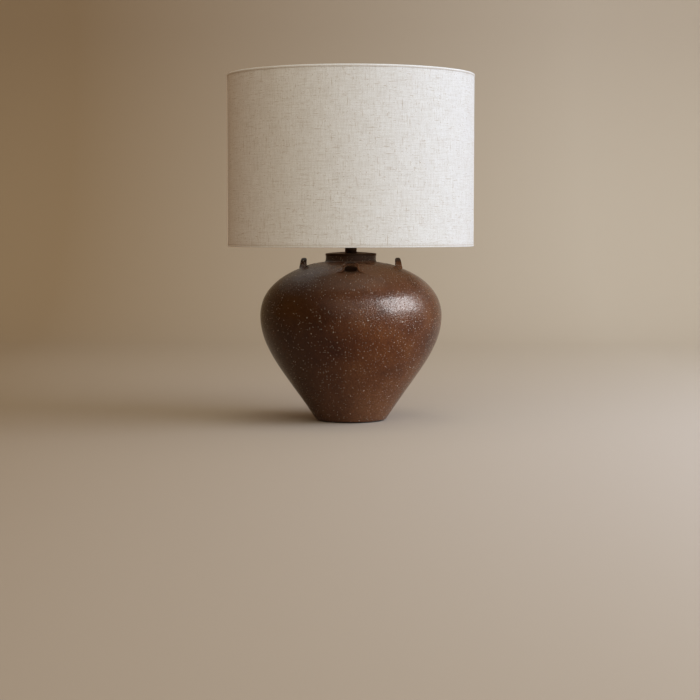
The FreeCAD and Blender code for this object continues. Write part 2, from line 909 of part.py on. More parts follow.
def make_hem():
    # Top hem: a tape folded over the edge of the skin and the ring wire
    outer = shade_radius
    inner = hem_bore_radius
    rounding = hem_sheet * hem_round_share
    soft = rounding * (1 - math.sqrt(0.5))
    edges = chain([
        at(linen_radius, skin_top),
        at(linen_radius, shade_top - hem_outside),
        at(outer, shade_top - hem_outside),
        at(outer, shade_top - rounding),
    ])
    edges.append(arc(at(outer, shade_top - rounding), at(outer - soft, shade_top - soft),
                     at(outer - rounding, shade_top)))
    edges.append(line(at(outer - rounding, shade_top), at(inner + rounding, shade_top)))
    edges.append(arc(at(inner + rounding, shade_top), at(inner + soft, shade_top - soft),
                     at(inner, shade_top - rounding)))
    edges += chain([
        at(inner, shade_top - rounding),
        at(inner, shade_top - hem_inside),
        at(inner + hem_sheet, shade_top - hem_inside),
        at(inner + hem_sheet, skin_top),
        at(linen_radius, skin_top),
    ])
    return turned(edges)


def make_arm():
    middle = seat + spider_hub / 2
    points = [
        at(spider_hub_radius / 2, middle),
        at(spider_hub_radius + arm_flat, middle),
        at(ring_radius - arm_flat, ring_height),
        at(ring_radius, ring_height),
    ]
    arm = bent_wire(points, (arm_bend, arm_bend), arm_wire_radius)
    return arm.cut(disc(spider_hub_radius, seat - spider_drop, shade_top))


def make_notch():
    # The slit that lets an arm through the inner leg of the hem
    half = arm_wire_radius + arm_notch
    return box(hem_bore_radius - overrun, ring_radius, -half, half, shade_top - hem_inside - overrun,
               ring_height + half)


def place_arms(shape):
    return [about_axis(shape, arm_first_angle + 360 * step / arm_count) for step in range(arm_count)]


top_ring = Part.makeTorus(ring_radius, ring_wire_radius, at(0, ring_height), UP)
bottom_ring = Part.makeTorus(ring_radius, ring_wire_radius, at(0, lower_ring_height), UP)
arms = place_arms(make_arm().cut(top_ring))
top_hem = make_hem()
bottom_hem = top_hem.mirror(at(0, (shade_top + shade_bottom) / 2), UP)

save("shade_linen", ring(linen_radius, liner_radius, skin_bottom, skin_top))
save("shade_liner", ring(liner_radius, liner_bore_radius, skin_bottom, skin_top))
save("shade_top_ring", top_ring)
save("shade_bottom_ring", bottom_ring)
save("shade_top_hem", top_hem.cut(place_arms(make_notch())))
save("shade_bottom_hem", bottom_hem)
save("spider_arms", Part.makeCompound(arms))
save("spider_hub", ring(spider_hub_radius, stud_radius + spider_fit, seat, hub_top))


# Finial: a turned knob with a base, a neck and a ball
def make_finial():
    base_top = hub_top + finial_base
    neck_top = base_top + finial_neck
    top = hub_top + finial_height
    ball = finial_ball_radius
    middle = top - ball
    neck_middle = (base_top + neck_top) / 2
    join = math.sqrt(ball ** 2 - finial_neck_radius ** 2)
    waist = finial_neck_radius * finial_waist_share
    edges = chain([at(0, hub_top), at(finial_base_radius, hub_top), at(finial_base_radius, base_top)])
    edges.append(arc(at(finial_base_radius, base_top), at(waist, neck_middle),
                     at(finial_neck_radius, middle - join)))
    edges.append(arc(at(finial_neck_radius, middle - join), at(ball, middle), at(0, top)))
    edges.append(line(at(0, top), at(0, hub_top)))
    bore = disc(stud_radius + finial_fit, hub_top - overrun, hub_top + stud_length + finial_bore_extra)
    return turned(edges).cut(bore)


save("finial", make_finial())
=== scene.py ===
import bpy, bmesh
import math
from mathutils import Matrix, Vector, noise
from mathutils.geometry import interpolate_bezier


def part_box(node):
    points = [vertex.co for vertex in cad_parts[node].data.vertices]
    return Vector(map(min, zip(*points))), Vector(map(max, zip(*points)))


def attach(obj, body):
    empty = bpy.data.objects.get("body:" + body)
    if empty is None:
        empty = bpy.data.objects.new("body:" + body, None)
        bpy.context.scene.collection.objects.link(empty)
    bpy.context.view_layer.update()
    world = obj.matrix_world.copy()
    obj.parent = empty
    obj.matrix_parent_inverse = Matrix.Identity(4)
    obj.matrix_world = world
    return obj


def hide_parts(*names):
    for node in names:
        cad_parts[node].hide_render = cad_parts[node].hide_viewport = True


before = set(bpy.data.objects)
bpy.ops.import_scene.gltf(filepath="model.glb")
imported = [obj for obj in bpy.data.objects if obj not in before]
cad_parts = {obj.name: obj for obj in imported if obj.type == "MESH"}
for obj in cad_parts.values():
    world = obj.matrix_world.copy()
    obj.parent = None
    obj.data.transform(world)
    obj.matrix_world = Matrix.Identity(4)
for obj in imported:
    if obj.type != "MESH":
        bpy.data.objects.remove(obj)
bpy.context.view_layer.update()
print("frame loaded:", len(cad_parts), "nodes")

# Table lamp: a glazed stoneware jar with strap lugs under a slubbed linen drum shade
lampAxis = Vector((0, 0, 1))
awayFromFront = Vector((0, 1, 0))
mergeDistance = 1e-6


def span(node):
    # Bottom, top and radius of a node that is round about an upright axis
    low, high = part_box(node)
    return low.z, high.z, (high.x - low.x) / 2


def upright(pairs):
    return [Vector((across, 0, height)) for across, height in pairs]


def vertsIn(geometry):
    return [item for item in geometry if isinstance(item, bmesh.types.BMVert)]


def faceOut(bm):
    bmesh.ops.recalc_face_normals(bm, faces=bm.faces[:])


def growRim(bm, rim, move):
    # The rim grows by one row of faces, and the new rim comes back
    grown = bmesh.ops.extrude_edge_only(bm, edges=rim)["geom"]
    bmesh.ops.transform(bm, matrix=move, verts=vertsIn(grown))
    return [item for item in grown if isinstance(item, bmesh.types.BMEdge) and item.is_boundary]


def discMesh(sides, radius=1):
    bm = bmesh.new()
    bmesh.ops.create_circle(bm, cap_ends=True, segments=sides, radius=radius)
    return bm


def bentLine(points, rounds, steps=4, closed=False):
    # The line through the points with each corner rounded to its own radius
    line = []
    for index, corner in enumerate(points):
        isEnd = not closed and index in (0, len(points) - 1)
        if isEnd or rounds[index] == 0:
            line.append(corner.copy())
            continue
        back = (points[index - 1] - corner).normalized()
        ahead = (points[(index + 1) % len(points)] - corner).normalized()
        turn = math.pi - back.angle(ahead)
        setback = rounds[index] * math.tan(turn / 2)
        handle = setback - rounds[index] * 4 / 3 * math.tan(turn / 4)
        line += interpolate_bezier(corner + back * setback, corner + back * handle, corner + ahead * handle,
                                   corner + ahead * setback, steps + 1)
    return line


def spunMesh(line, steps):
    bm = bmesh.new()
    verts = [bm.verts.new(point) for point in line]
    edges = [bm.edges.new(pair) for pair in zip(verts, verts[1:] + verts[:1])]
    bmesh.ops.spin(bm, geom=verts + edges, cent=(0, 0, 0), axis=lampAxis, angle=math.tau, steps=steps,
                   use_merge=True)
    bmesh.ops.remove_doubles(bm, verts=bm.verts[:], dist=mergeDistance)
    faceOut(bm)
    return bm


def cornerCurve(start, corner, end, share, steps):
    return interpolate_bezier(start, start.lerp(corner, share), end.lerp(corner, share), end, steps)


def squareOff(bm, flatness):
    # Presses a circle of radius 1 towards a square with round corners
    for vert in bm.verts:
        vert.co.x = math.copysign(abs(vert.co.x) ** flatness, vert.co.x)
        vert.co.y = math.copysign(abs(vert.co.y) ** flatness, vert.co.y)


def loftedMesh(frames, sides, flatness=1.0):
    # A circle, squared off by its flatness, carried through a row of frames and closed at both ends
    bm = discMesh(sides)
    squareOff(bm, flatness)
    bmesh.ops.transform(bm, matrix=frames[0], verts=bm.verts[:])
    rim = bm.edges[:]
    for before, here in zip(frames, frames[1:]):
        rim = growRim(bm, rim, here @ before.inverted())
    bmesh.ops.contextual_create(bm, geom=rim)
    faceOut(bm)
    return bm


def wireFrames(route, radius):
    # Frames along a route that lies in an upright plane
    frames, across = [], awayFromFront
    for index, point in enumerate(route):
        along = (route[min(index + 1, len(route) - 1)] - route[max(index - 1, 0)]).normalized()
        up = along.cross(across)
        axes = Matrix((across * radius, up * radius, along * radius)).transposed()
        frames.append(Matrix.Translation(point) @ axes.to_4x4())
    return frames


def addObject(name, data):
    thing = bpy.data.objects.new(name, data)
    bpy.context.scene.collection.objects.link(thing)
    return thing


def finishMesh(bm, name, smoothAngle=35):
    mesh = bpy.data.meshes.new(name)
    bm.to_mesh(mesh)
    bm.free()
    mesh.shade_smooth()
    mesh.set_sharp_from_angle(angle=math.radians(smoothAngle))
    return addObject(name, mesh)


def turnedMesh(outline, steps):
    # A closed outline of (radius, height, rounding) turned about the lamp's axis
    radii, heights, rounds = zip(*outline)
    return spunMesh(bentLine(upright(zip(radii, heights)), rounds, closed=True), steps)


def turnedPiece(name, outline, steps=96):
    return finishMesh(turnedMesh(outline, steps), name)


def turnedRing(name, node, steps=192, sides=16):
    low, high, radius = span(node)
    wire = (high - low) / 2
    angles = [math.tau * side / sides for side in range(sides)]
    line = [(radius - wire + wire * math.cos(angle), low + wire + wire * math.sin(angle)) for angle in angles]
    return finishMesh(spunMesh(upright(line), steps), name)


def ringOutline(low, high, radius, bore, outerRound=0.0, innerRound=0.0):
    return [(bore, low, innerRound), (radius, low, outerRound), (radius, high, outerRound),
            (bore, high, innerRound)]


def arcToTop(radius, middle, start, steps):
    # Points of a ball's outline, from an angle up to its top
    angles = [start + (math.pi / 2 - start) * step / steps for step in range(steps + 1)]
    return [(radius * math.cos(angle), middle + radius * math.sin(angle)) for angle in angles]


def thicken(bm, move):
    # A flat mesh gets its thickness, and its faces point outwards
    grown = bmesh.ops.extrude_face_region(bm, geom=bm.faces[:])["geom"]
    bmesh.ops.translate(bm, verts=vertsIn(grown), vec=move)
    faceOut(bm)


def easeEdges(bm, edges, width, segments, **settings):
    bmesh.ops.bevel(bm, geom=edges, offset=width, offset_type="OFFSET", affect="EDGES", segments=segments,
                    profile=0.5, material=-1, **settings)


def endEdges(bm):
    # The edges of the many-sided faces that close a piece at its ends
    return [edge for face in bm.faces if len(face.verts) > 4 for edge in face.edges]


def outward(place):
    return Vector((place.x, place.y, 0)).normalized()


def turnedBy(degrees):
    return Matrix.Rotation(math.radians(degrees), 3, "Z")


def bevelledCopy(node, name, width, least=math.radians(40)):
    # The node's own shape with its sharp edges broken
    bm = bmesh.new()
    bm.from_mesh(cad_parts[node].data)
    bmesh.ops.remove_doubles(bm, verts=bm.verts[:], dist=mergeDistance)
    bmesh.ops.dissolve_limit(bm, angle_limit=math.radians(1), verts=bm.verts[:], edges=bm.edges[:])
    sharp = [edge for edge in bm.edges if edge.is_manifold and edge.calc_face_angle() > least]
    easeEdges(bm, sharp, width, 2, clamp_overlap=True)
    return finishMesh(bm, name)


def joinLamp(piece, body, slotName, *nodes, finish=None):
    piece.data.materials.clear()
    piece.data.materials.append(finishes[finish or slotName])
    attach(piece, body)
    if nodes:
        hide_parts(*nodes)
    return piece


def joinTurned(name, outline, body, slotName, *nodes, steps=96):
    return joinLamp(turnedPiece(name, outline, steps), body, slotName, *nodes)


def feed(tree, socket, value):
    # A socket takes a constant, a colour without its alpha, or what comes out of another node
    if isinstance(value, bpy.types.NodeSocket):
        tree.links.new(value, socket)
    else:
        socket.default_value = (*value, 1) if socket.type == "RGBA" else value


def addNode(tree, kind, inputs, **settings):
    node = tree.nodes.new(kind)
    for key, value in settings.items():
        setattr(node, key, value)
    for key, value in inputs.items():
        feed(tree, node.inputs[key], value)
    return node


# Finishes
class Finish:
    # A material with its shader and short ways to add nodes before it
    def __init__(self, name, roughness=0.5, metallic=0.0, **constants):
        self.material = bpy.data.materials.new(name)
        self.material.use_nodes = True
        self.tree = self.material.node_tree
        self.place = self.add("ShaderNodeTexCoord", {})
        self.shade({"Roughness": roughness, "Metallic": metallic, **constants})

    def add(self, kind, inputs, **settings):
        return addNode(self.tree, kind, inputs, **settings)

    def shade(self, inputs):
        for key, value in inputs.items():
            feed(self.tree, self.tree.nodes["Principled BSDF"].inputs[key], value)

    def coordinates(self, source="Object", scale=(1, 1, 1), rotation=(0, 0, 0)):
        inputs = {"Vector": self.place.outputs[source], "Scale": scale, "Rotation": rotation}
        return self.add("ShaderNodeMapping", inputs).outputs["Vector"]

    def noise(self, vector, scale, detail=3.0, roughness=0.5):
        inputs = {"Vector": vector, "Scale": scale, "Detail": detail, "Roughness": roughness}
        return self.add("ShaderNodeTexNoise", inputs).outputs["Fac"]

    def spread(self, value, low, high, toLow=0.0, toHigh=1.0):
        inputs = {"Value": value, "From Min": low, "From Max": high, "To Min": toLow, "To Max": toHigh}
        return self.add("ShaderNodeMapRange", inputs).outputs["Result"]

    def combine(self, operation, first, second):
        return self.add("ShaderNodeMath", {0: first, 1: second}, operation=operation).outputs[0]

    def sum(self, first, second):
        return self.combine("ADD", first, second)

    def times(self, first, second):
        return self.combine("MULTIPLY", first, second)

    def ramp(self, value, stops):
        node = self.add("ShaderNodeValToRGB", {"Fac": value})
        for index, (at, colour) in enumerate(stops):
            stop = node.color_ramp.elements[index] if index < 2 else node.color_ramp.elements.new(at)
            stop.position = at
            stop.color = (*colour, 1)
        return node.outputs["Color"]

    def blend(self, share, first, second, mode="MIX"):
        inputs = {0: share, 6: first, 7: second}
        return self.add("ShaderNodeMix", inputs, data_type="RGBA", blend_type=mode).outputs[2]

    def bump(self, height, strength, distance):
        inputs = {"Height": height, "Strength": strength, "Distance": distance}
        self.shade({"Normal": self.add("ShaderNodeBump", inputs).outputs["Normal"]})


def wornFinish(name, colour, roughness, metallic=0.0, grain=400, change=0.12, depth=0.00005, **constants):
    # A plain finish with faint cloudiness, uneven gloss and a fine grain
    wear = {"cloud": 8, "cloudStops": (0.35, 0.65), "patches": 3, "gloss": (0.85, 1.15), "relief": 0.4}
    finish = Finish(name, roughness, metallic, **constants)
    place = finish.coordinates()
    cloud = finish.noise(place, grain / wear["cloud"])
    darker = tuple(channel * (1 - change) for channel in colour)
    patches = finish.noise(place, grain / wear["patches"])
    gloss = [roughness * share for share in wear["gloss"]]
    finish.shade({"Base Color": finish.ramp(cloud, zip(wear["cloudStops"], (darker, colour))),
                  "Roughness": finish.spread(patches, 0.3, 0.7, *gloss)})
    finish.bump(finish.noise(place, grain, 4), wear["relief"], depth)
    return finish.material


def brushedFinish(name, colour, roughness):
    # Metal spun on a lathe: fine rings round the lamp's axis
    brush = {"rings": (40, 40, 4000), "cloud": 60, "cloudStops": (0.3, 0.7), "dull": 0.82,
             "gloss": (0.8, 1.25), "relief": 0.25, "depth": 0.00004}
    finish = Finish(name, roughness, 1.0)
    rings = finish.noise(finish.coordinates(scale=brush["rings"]), 1.0, 3)
    cloud = finish.noise(finish.coordinates(), brush["cloud"])
    dull = tuple(channel * brush["dull"] for channel in colour)
    gloss = [roughness * share for share in brush["gloss"]]
    finish.shade({"Base Color": finish.ramp(cloud, zip(brush["cloudStops"], (dull, colour))),
                  "Roughness": finish.spread(rings, 0.3, 0.7, *gloss)})
    finish.bump(rings, brush["relief"], brush["depth"])
    return finish.material


def glazeFinish():
    # The darkest glaze colour serves as dark glaze and as painted shade in the eyes of the lugs
    glaze = {"dark": (0.074, 0.018, 0.005), "middle": (0.132, 0.037, 0.010), "light": (0.182, 0.060, 0.017),
             "ashAndSheen": (0.300, 0.140, 0.072), "darkGlazeAndShade": (0.012, 0.006, 0.004), "speck": (0.90, 0.78, 0.67),
             "cloud": (14, 6, 0.6), "gloss": (0.3, 0.7, 0.17, 0.25), "specular": 0.24,
             "footAsh": (0.15, 0.03, 0.0, 0.50), "shoulderAshAndSheen": (0.255, 0.300, 0.0, 0.92),
             "litSideSheen": (-0.12, 0.12, 0.52, 1.0), "ashClouds": (0.35, 0.65, 0.6, 1.0),
             "shadedSideTint": (0.30, 0.325, 0.38), "shadedSideTurn": (-0.088, 0.060, 1.0, 0.0),
             "neckDarkMattBand": (0.3205, 0.326, 0.0, 0.7), "mattRoughness": 0.3,
             "sideEye": 0.088, "frontEye": 0.102, "eyeShadowFade": (0.016, 0.008, 0.0, 0.75), "eyeStretch": 0.62,
             "eyeShadowHeight": (0.28, 0.29),
             "specks": ((118, 0.68, 0.115), (151, 0.66, 0.115), (205, 0.64, 0.13), (300, 0.66, 0.18)),
             "speckCore": 0.6, "speckFaint": 0.38, "speckAndGlintAcross": (-0.13, 0.13, -0.16, 0.16),
             "pebbles": (430, 1.5), "pebbleRise": (0.50, 0.72), "mottle": (0.65, 0.35, 0.0, 0.40),
             "ripples": (430 / 3, 2), "rippleShare": 0.40, "drag": (60, 60, 420), "dragTurn": (0.5, 0.5, 0),
             "dragHeight": (0.11, 0.05, 0.0, 5.0), "relief": 0.9, "depth": 0.00032}
    finish = Finish("satinGlaze", **{"Specular IOR Level": glaze["specular"]})
    place = finish.coordinates()
    cloud = finish.noise(place, *glaze["cloud"])
    body = finish.ramp(cloud, ((0.30, glaze["dark"]), (0.70, glaze["light"]), (0.5, glaze["middle"])))
    axes = finish.add("ShaderNodeSeparateXYZ", {"Vector": place}).outputs
    # Dry ash lies on the shoulder and towards the foot; on the shoulder it is also painted sheen, stronger
    # towards the lit +X side
    high = finish.spread(axes["Z"], *glaze["shoulderAshAndSheen"])
    high = finish.times(high, finish.spread(axes["X"], *glaze["litSideSheen"]))
    ashAndSheen = finish.sum(finish.spread(axes["Z"], *glaze["footAsh"]), high)
    ashAndSheen = finish.times(ashAndSheen, finish.spread(cloud, *glaze["ashClouds"]))
    body = finish.blend(ashAndSheen, body, glaze["ashAndSheen"])
    # Painted shade: the side away from the light, towards -X, is darkened and greyed in the colour
    shadedSide = finish.spread(axes["X"], *glaze["shadedSideTurn"])
    body = finish.blend(shadedSide, body, glaze["shadedSideTint"], "MULTIPLY")
    pebbles = finish.noise(place, *glaze["pebbles"])
    # Darker where the pebbles lie low, and darker and matt towards the neck
    neckDarkMatt = finish.spread(axes["Z"], *glaze["neckDarkMattBand"])
    for share in (finish.spread(pebbles, *glaze["mottle"]), neckDarkMatt):
        body = finish.blend(share, body, glaze["darkGlazeAndShade"])
    for across, away, eyePlace in (("X", "Y", glaze["frontEye"]), ("Y", "X", glaze["sideEye"])):
        # Painted shade: the glaze is darkened in the eye of each lug, where the strap shades the shoulder
        along = finish.combine("SUBTRACT", finish.combine("ABSOLUTE", axes[away], 0), eyePlace)
        along = finish.times(along, glaze["eyeStretch"])
        gap = finish.sum(finish.combine("POWER", along, 2), finish.times(axes[across], axes[across]))
        eyeShadow = finish.spread(finish.combine("POWER", gap, 0.5), *glaze["eyeShadowFade"])
        eyeShadow = finish.times(eyeShadow, finish.spread(axes["Z"], *glaze["eyeShadowHeight"]))
        body = finish.blend(eyeShadow, body, glaze["darkGlazeAndShade"])
    for scale, share, size in glaze["specks"]:
        cells = finish.add("ShaderNodeTexVoronoi", {"Vector": place, "Scale": scale}, feature="F1").outputs
        picked = finish.add("ShaderNodeSeparateColor", {"Color": cells["Color"]}).outputs["Red"]
        # More specks are picked towards the lit +X side, standing in part for painted glints
        picked = finish.sum(picked, finish.spread(axes["X"], *glaze["speckAndGlintAcross"]))
        isSpeck = finish.combine("GREATER_THAN", picked, share)
        dot = finish.spread(cells["Distance"], size, size * glaze["speckCore"])
        dot = finish.times(dot, finish.spread(picked, share, 1.0, glaze["speckFaint"], 1.0))
        body = finish.blend(finish.times(isSpeck, dot), body, glaze["speck"])
    ripples = finish.times(finish.noise(place, *glaze["ripples"]), glaze["rippleShare"])
    drag = finish.noise(finish.coordinates(scale=glaze["drag"], rotation=glaze["dragTurn"]), 1.0, 2)
    drag = finish.times(drag, finish.spread(axes["Z"], *glaze["dragHeight"]))
    relief = finish.sum(finish.sum(finish.spread(pebbles, *glaze["pebbleRise"]), ripples), drag)
    gloss = finish.sum(finish.spread(cloud, *glaze["gloss"]), finish.times(neckDarkMatt, glaze["mattRoughness"]))
    finish.shade({"Base Color": body, "Roughness": gloss})
    finish.bump(relief, glaze["relief"], glaze["depth"])
    return finish.material


def linenFinish(name, slubShare=1.0, rims=None):
    # The cloth's own map is in metres: across its width, then up its height. A band of the wave
    # texture is 0.314 m over its scale wide, and a thread is 0.9 mm
    linen = {"thread": (0.83, 0.808, 0.795), "shadow": (0.56, 0.50, 0.44), "slub": (0.33, 0.20, 0.09),
             "foldHighlight": (1, 1, 1), "between": 0.28,
             "wave": {"Scale": 0.314 / 0.0009, "Distortion": 1.4, "Detail": 2.0, "Detail Scale": 0.6},
             "streaks": (((420, 30, 1), 0.36), ((26, 420, 1), 0.36), ((520, 520, 1), 0.42)),
             "streakRange": (0.42, 0.70),
             "slubs": (((30, 600, 1), 0.655, 0.735), ((600, 26, 1), 0.66, 0.74), ((90, 640, 1), 0.65, 0.72),
                       ((640, 90, 1), 0.65, 0.72), ((280, 330, 1), 0.67, 0.74)),
             "slubStrength": 0.68, "slubRelief": 1.5, "cloud": (22, 4), "cloudRange": (0.3, 0.7, 0.0, 0.12),
             "foldHighlightRange": (0.0022, 0.0016, 0.0, 0.22), "creaseShadowRange": (0.0022, 0.0030, 0.0, 0.28),
             "relief": 0.5, "depth": 0.00018}
    finish = Finish(name, 0.9, **{"Specular IOR Level": 0.12, "Sheen Weight": 0.1, "Sheen Roughness": 0.5})
    place = finish.coordinates("UV")
    waves = [finish.add("ShaderNodeTexWave", {"Vector": place, **linen["wave"]}, bands_direction=direction)
             for direction in ("X", "Y")]
    weave = finish.combine("MAXIMUM", *[wave.outputs["Fac"] for wave in waves])
    between = finish.spread(weave, 0.0, 1.0, linen["between"], 0.0)
    body = finish.blend(between, linen["thread"], linen["shadow"])
    # Threads of uneven thickness, seen as soft streaks both ways
    for scale, share in linen["streaks"]:
        streak = finish.noise(finish.coordinates("UV", scale), 1.0, 2, 0.6)
        body = finish.blend(finish.spread(streak, *linen["streakRange"], 0.0, share), body, linen["shadow"])
    slubs = 0.0
    for scale, low, high in linen["slubs"]:
        slub = finish.spread(finish.noise(finish.coordinates("UV", scale), 1.0, 2), low, high)
        slubs = finish.combine("MAXIMUM", slubs, slub)
    body = finish.blend(finish.times(slubs, linen["slubStrength"] * slubShare), body, linen["slub"])
    cloud = finish.noise(place, *linen["cloud"])
    body = finish.blend(finish.spread(cloud, *linen["cloudRange"]), body, linen["shadow"])
    if rims:
        # Painted highlight and shadow: a hem is lighter on its fold and has a dark crease line, in the slub
        # colour, where it ends on the cloth
        height = finish.add("ShaderNodeSeparateXYZ", {"Vector": finish.coordinates()}).outputs["Z"]
        gaps = [finish.combine("ABSOLUTE", finish.combine("SUBTRACT", height, rim), 0) for rim in rims]
        gap = finish.combine("MINIMUM", *gaps)
        body = finish.blend(finish.spread(gap, *linen["foldHighlightRange"]), body, linen["foldHighlight"])
        body = finish.blend(finish.spread(gap, *linen["creaseShadowRange"]), body, linen["slub"])
    finish.shade({"Base Color": body})
    finish.bump(finish.sum(weave, finish.times(slubs, linen["slubRelief"])), linen["relief"], linen["depth"])
    return finish.material


# A finish has its slot's name, or a name of its own where a slot has several
finishes = {
    "stoneware": glazeFinish(),
    "linen": linenFinish("slubbedLinen"),
    "hem": linenFinish("hemLinen", slubShare=0.4, rims=(0.355, 0.700)),
    "felt": wornFinish("pressedFelt", (0.05, 0.04, 0.035), 0.95, grain=1500, change=0.5, depth=0.0004),
    "rubber": wornFinish("blackRubber", (0.02, 0.02, 0.02), 0.6, grain=900),
    "dark_bronze": wornFinish("darkBronze", (0.046, 0.027, 0.019), 0.34, metallic=1.0, grain=700, change=0.3,
                              **{"Specular Tint": (0.72, 0.58, 0.50)}),
    # Painted shadow: a dark sheet with no gloss for the eyes of the lugs
    "eyeShadowSheet": wornFinish("eyeShadowSheet", (0.026, 0.013, 0.008), 0.6, grain=300, change=0.3,
                              **{"Specular IOR Level": 0.0}),
    "zinc": brushedFinish("zincPlate", (0.60, 0.60, 0.58), 0.35),
    "brass": brushedFinish("satinBrass", (0.70, 0.50, 0.24), 0.3),
    "contact": brushedFinish("contactMetal", (0.74, 0.66, 0.48), 0.25),
    "bulb_cap_metal": brushedFinish("rolledAluminium", (0.78, 0.78, 0.76), 0.28),
    "board": wornFinish("insulatingBoard", (0.42, 0.27, 0.15), 0.7, grain=500, change=0.3),
    "black_plastic": wornFinish("blackPlastic", (0.018, 0.018, 0.018), 0.32, grain=900),
    "blackGlass": wornFinish("blackGlass", (0.01, 0.01, 0.012), 0.12, grain=300),
    "wire": brushedFinish("drawnWire", (0.40, 0.38, 0.36), 0.4),
    "shade_liner": wornFinish("styreneLiner", (0.62, 0.53, 0.43), 0.45, grain=120, change=0.04),
    "white_enamel": wornFinish("offWhiteEnamel", (0.80, 0.79, 0.76), 0.35, grain=300, change=0.06),
    "frosted_glass": wornFinish("frostedGlass", (0.88, 0.87, 0.83), 0.35, grain=200, change=0.03,
                                **{"Transmission Weight": 0.35}),
    "clear": wornFinish("clearGlass", (0.92, 0.94, 0.94), 0.05, grain=200, change=0.02,
                        **{"Transmission Weight": 0.95}),
}
print("finishes made:", len(finishes))

# Stoneware jar
jarShape = {
    "foot": 0.072, "belly": 0.185, "bellyHeight": 0.212, "neck": 0.0511, "neckHeight": 0.0158,
    "lip": 0.0505, "lipBand": 0.005, "wall": 0.008, "floor": 0.010, "recess": 0.050,
    "recessDepth": 0.014, "footRound": 0.003, "rootRound": 0.004, "rodHole": 0.0051,
    "footHandle": (0.51, 0.42), "bellyHandle": (0.33, 0.775), "shoulderHandle": (0.165, 0.016),
    "segments": 288, "outerRows": 88, "innerRows": 16,
    "footEase": 0.6, "rootEase": 0.55, "easeSteps": 6, "neckSteps": 4,
    "ringPitch": 0.0088, "ringDepth": 0.00005, "ringFade": (0.55, 0.45, 9),
    "unevenness": ((7, 0.0006), (38, 0.00018)), "handFrom": (0.004, 0.03), "outerFrom": 0.0508,
}


def jarSide(foot, belly, neck, root, rows):
    # The line of the jar's side, from foot to belly and from belly to the root of the neck
    shape = jarShape
    waist = jarBottom + shape["bellyHeight"]
    rise, fall = waist - jarBottom, root - waist
    lower = upright(((foot, jarBottom), (foot + shape["footHandle"][0] * (belly - foot),
                                         jarBottom + shape["footHandle"][1] * rise),
                     (belly, waist - shape["bellyHandle"][0] * rise), (belly, waist)))
    upper = upright(((belly, waist), (belly, waist + shape["bellyHandle"][1] * fall),
                     (neck + shape["shoulderHandle"][0] * (belly - neck),
                      root - shape["shoulderHandle"][1] * fall), (neck, root)))
    return interpolate_bezier(*lower, rows) + interpolate_bezier(*upper, rows)[1:]


jarBottom, jarLip = span("stoneware_jar")[:2]
jarRoot = jarLip - jarShape["neckHeight"]
jarOuter = jarSide(jarShape["foot"], jarShape["belly"], jarShape["neck"], jarRoot, jarShape["outerRows"])


def shoulderHeight(radius):
    # Height of the jar's shoulder at a distance from the axis
    for low, high in zip(jarOuter, jarOuter[1:]):
        if low.z > jarBottom + jarShape["bellyHeight"] and high.x <= radius <= low.x:
            return low.z + (high.z - low.z) * (low.x - radius) / max(low.x - high.x, mergeDistance)
    return jarRoot


def jarLine():
    shape = jarShape
    foot, neck, lip, wall, rodHole = [shape[key] for key in ("foot", "neck", "lip", "wall", "rodHole")]
    footRound, rootRound, easeSteps = shape["footRound"], shape["rootRound"], shape["easeSteps"]
    underFloor = jarBottom + shape["recessDepth"]
    overFloor = underFloor + shape["floor"]
    line = [(rodHole, underFloor), (shape["recess"], underFloor), (shape["recess"], jarBottom)]
    side = [p for p in jarOuter if p.z > jarBottom + footRound and p.x > neck + rootRound]
    corner = Vector((foot, 0, jarBottom))
    toSide = cornerCurve(corner - Vector((footRound, 0, 0)), corner, side[0], shape["footEase"], easeSteps)
    root = Vector((neck, 0, side[-1].z))
    neckStart = root + Vector((0, 0, rootRound))
    toNeck = cornerCurve(side[-1], root, neckStart, shape["rootEase"], easeSteps)
    line += [(p.x, p.z) for p in toSide[:-1] + side + toNeck[1:]]
    band, steps = jarLip - shape["lipBand"], shape["neckSteps"]
    line += [(neck, neckStart.z + (band - neckStart.z) * step / steps) for step in range(1, steps + 1)]
    line += [(lip, band), (lip, jarLip), (lip - wall, jarLip)]
    inner = jarSide(foot - wall, shape["belly"] - wall, lip - wall, jarRoot - wall, shape["innerRows"])
    line += [(p.x, p.z) for p in reversed(inner) if p.z > overFloor]
    floorEdge = min(inner, key=lambda p: abs(p.z - overFloor)).x
    return upright(line + [(floorEdge, overFloor), (rodHole, overFloor)])


def smoothStep(value, low, high):
    share = min(max((value - low) / (high - low), 0), 1)
    return share * share * (3 - 2 * share)


def handWork(place):
    # How far the potter's hand leaves the surface proud at a place
    shape = jarShape
    turn = math.atan2(place.y, place.x) / math.tau
    base, change, scale = shape["ringFade"]
    fading = base + change * noise.noise(place * scale)
    proud = math.sin(math.tau * (place.z / shape["ringPitch"] + turn)) * fading * shape["ringDepth"]
    return proud + sum(noise.noise(place * scale) * depth for scale, depth in shape["unevenness"])


def makeJar():
    shape = jarShape
    bm = spunMesh(jarLine(), shape["segments"])
    bm.normal_update()
    middle = Vector((0, 0, jarBottom + shape["bellyHeight"]))
    moved = []
    for vert in bm.verts:
        isOuter = vert.normal.dot(vert.co - middle) > 0 and math.hypot(*vert.co.xy) > shape["outerFrom"]
        share = smoothStep(vert.co.z, *[jarBottom + height for height in shape["handFrom"]])
        share *= 1 - smoothStep(vert.co.z, jarRoot, jarLip - shape["lipBand"])
        if isOuter and share:
            moved.append((vert, vert.co + vert.normal * handWork(vert.co) * share))
    for vert, place in moved:
        vert.co = place
    joinLamp(finishMesh(bm, "stonewareJar"), "base", "stoneware", "stoneware_jar")


makeJar()
print("jar thrown")

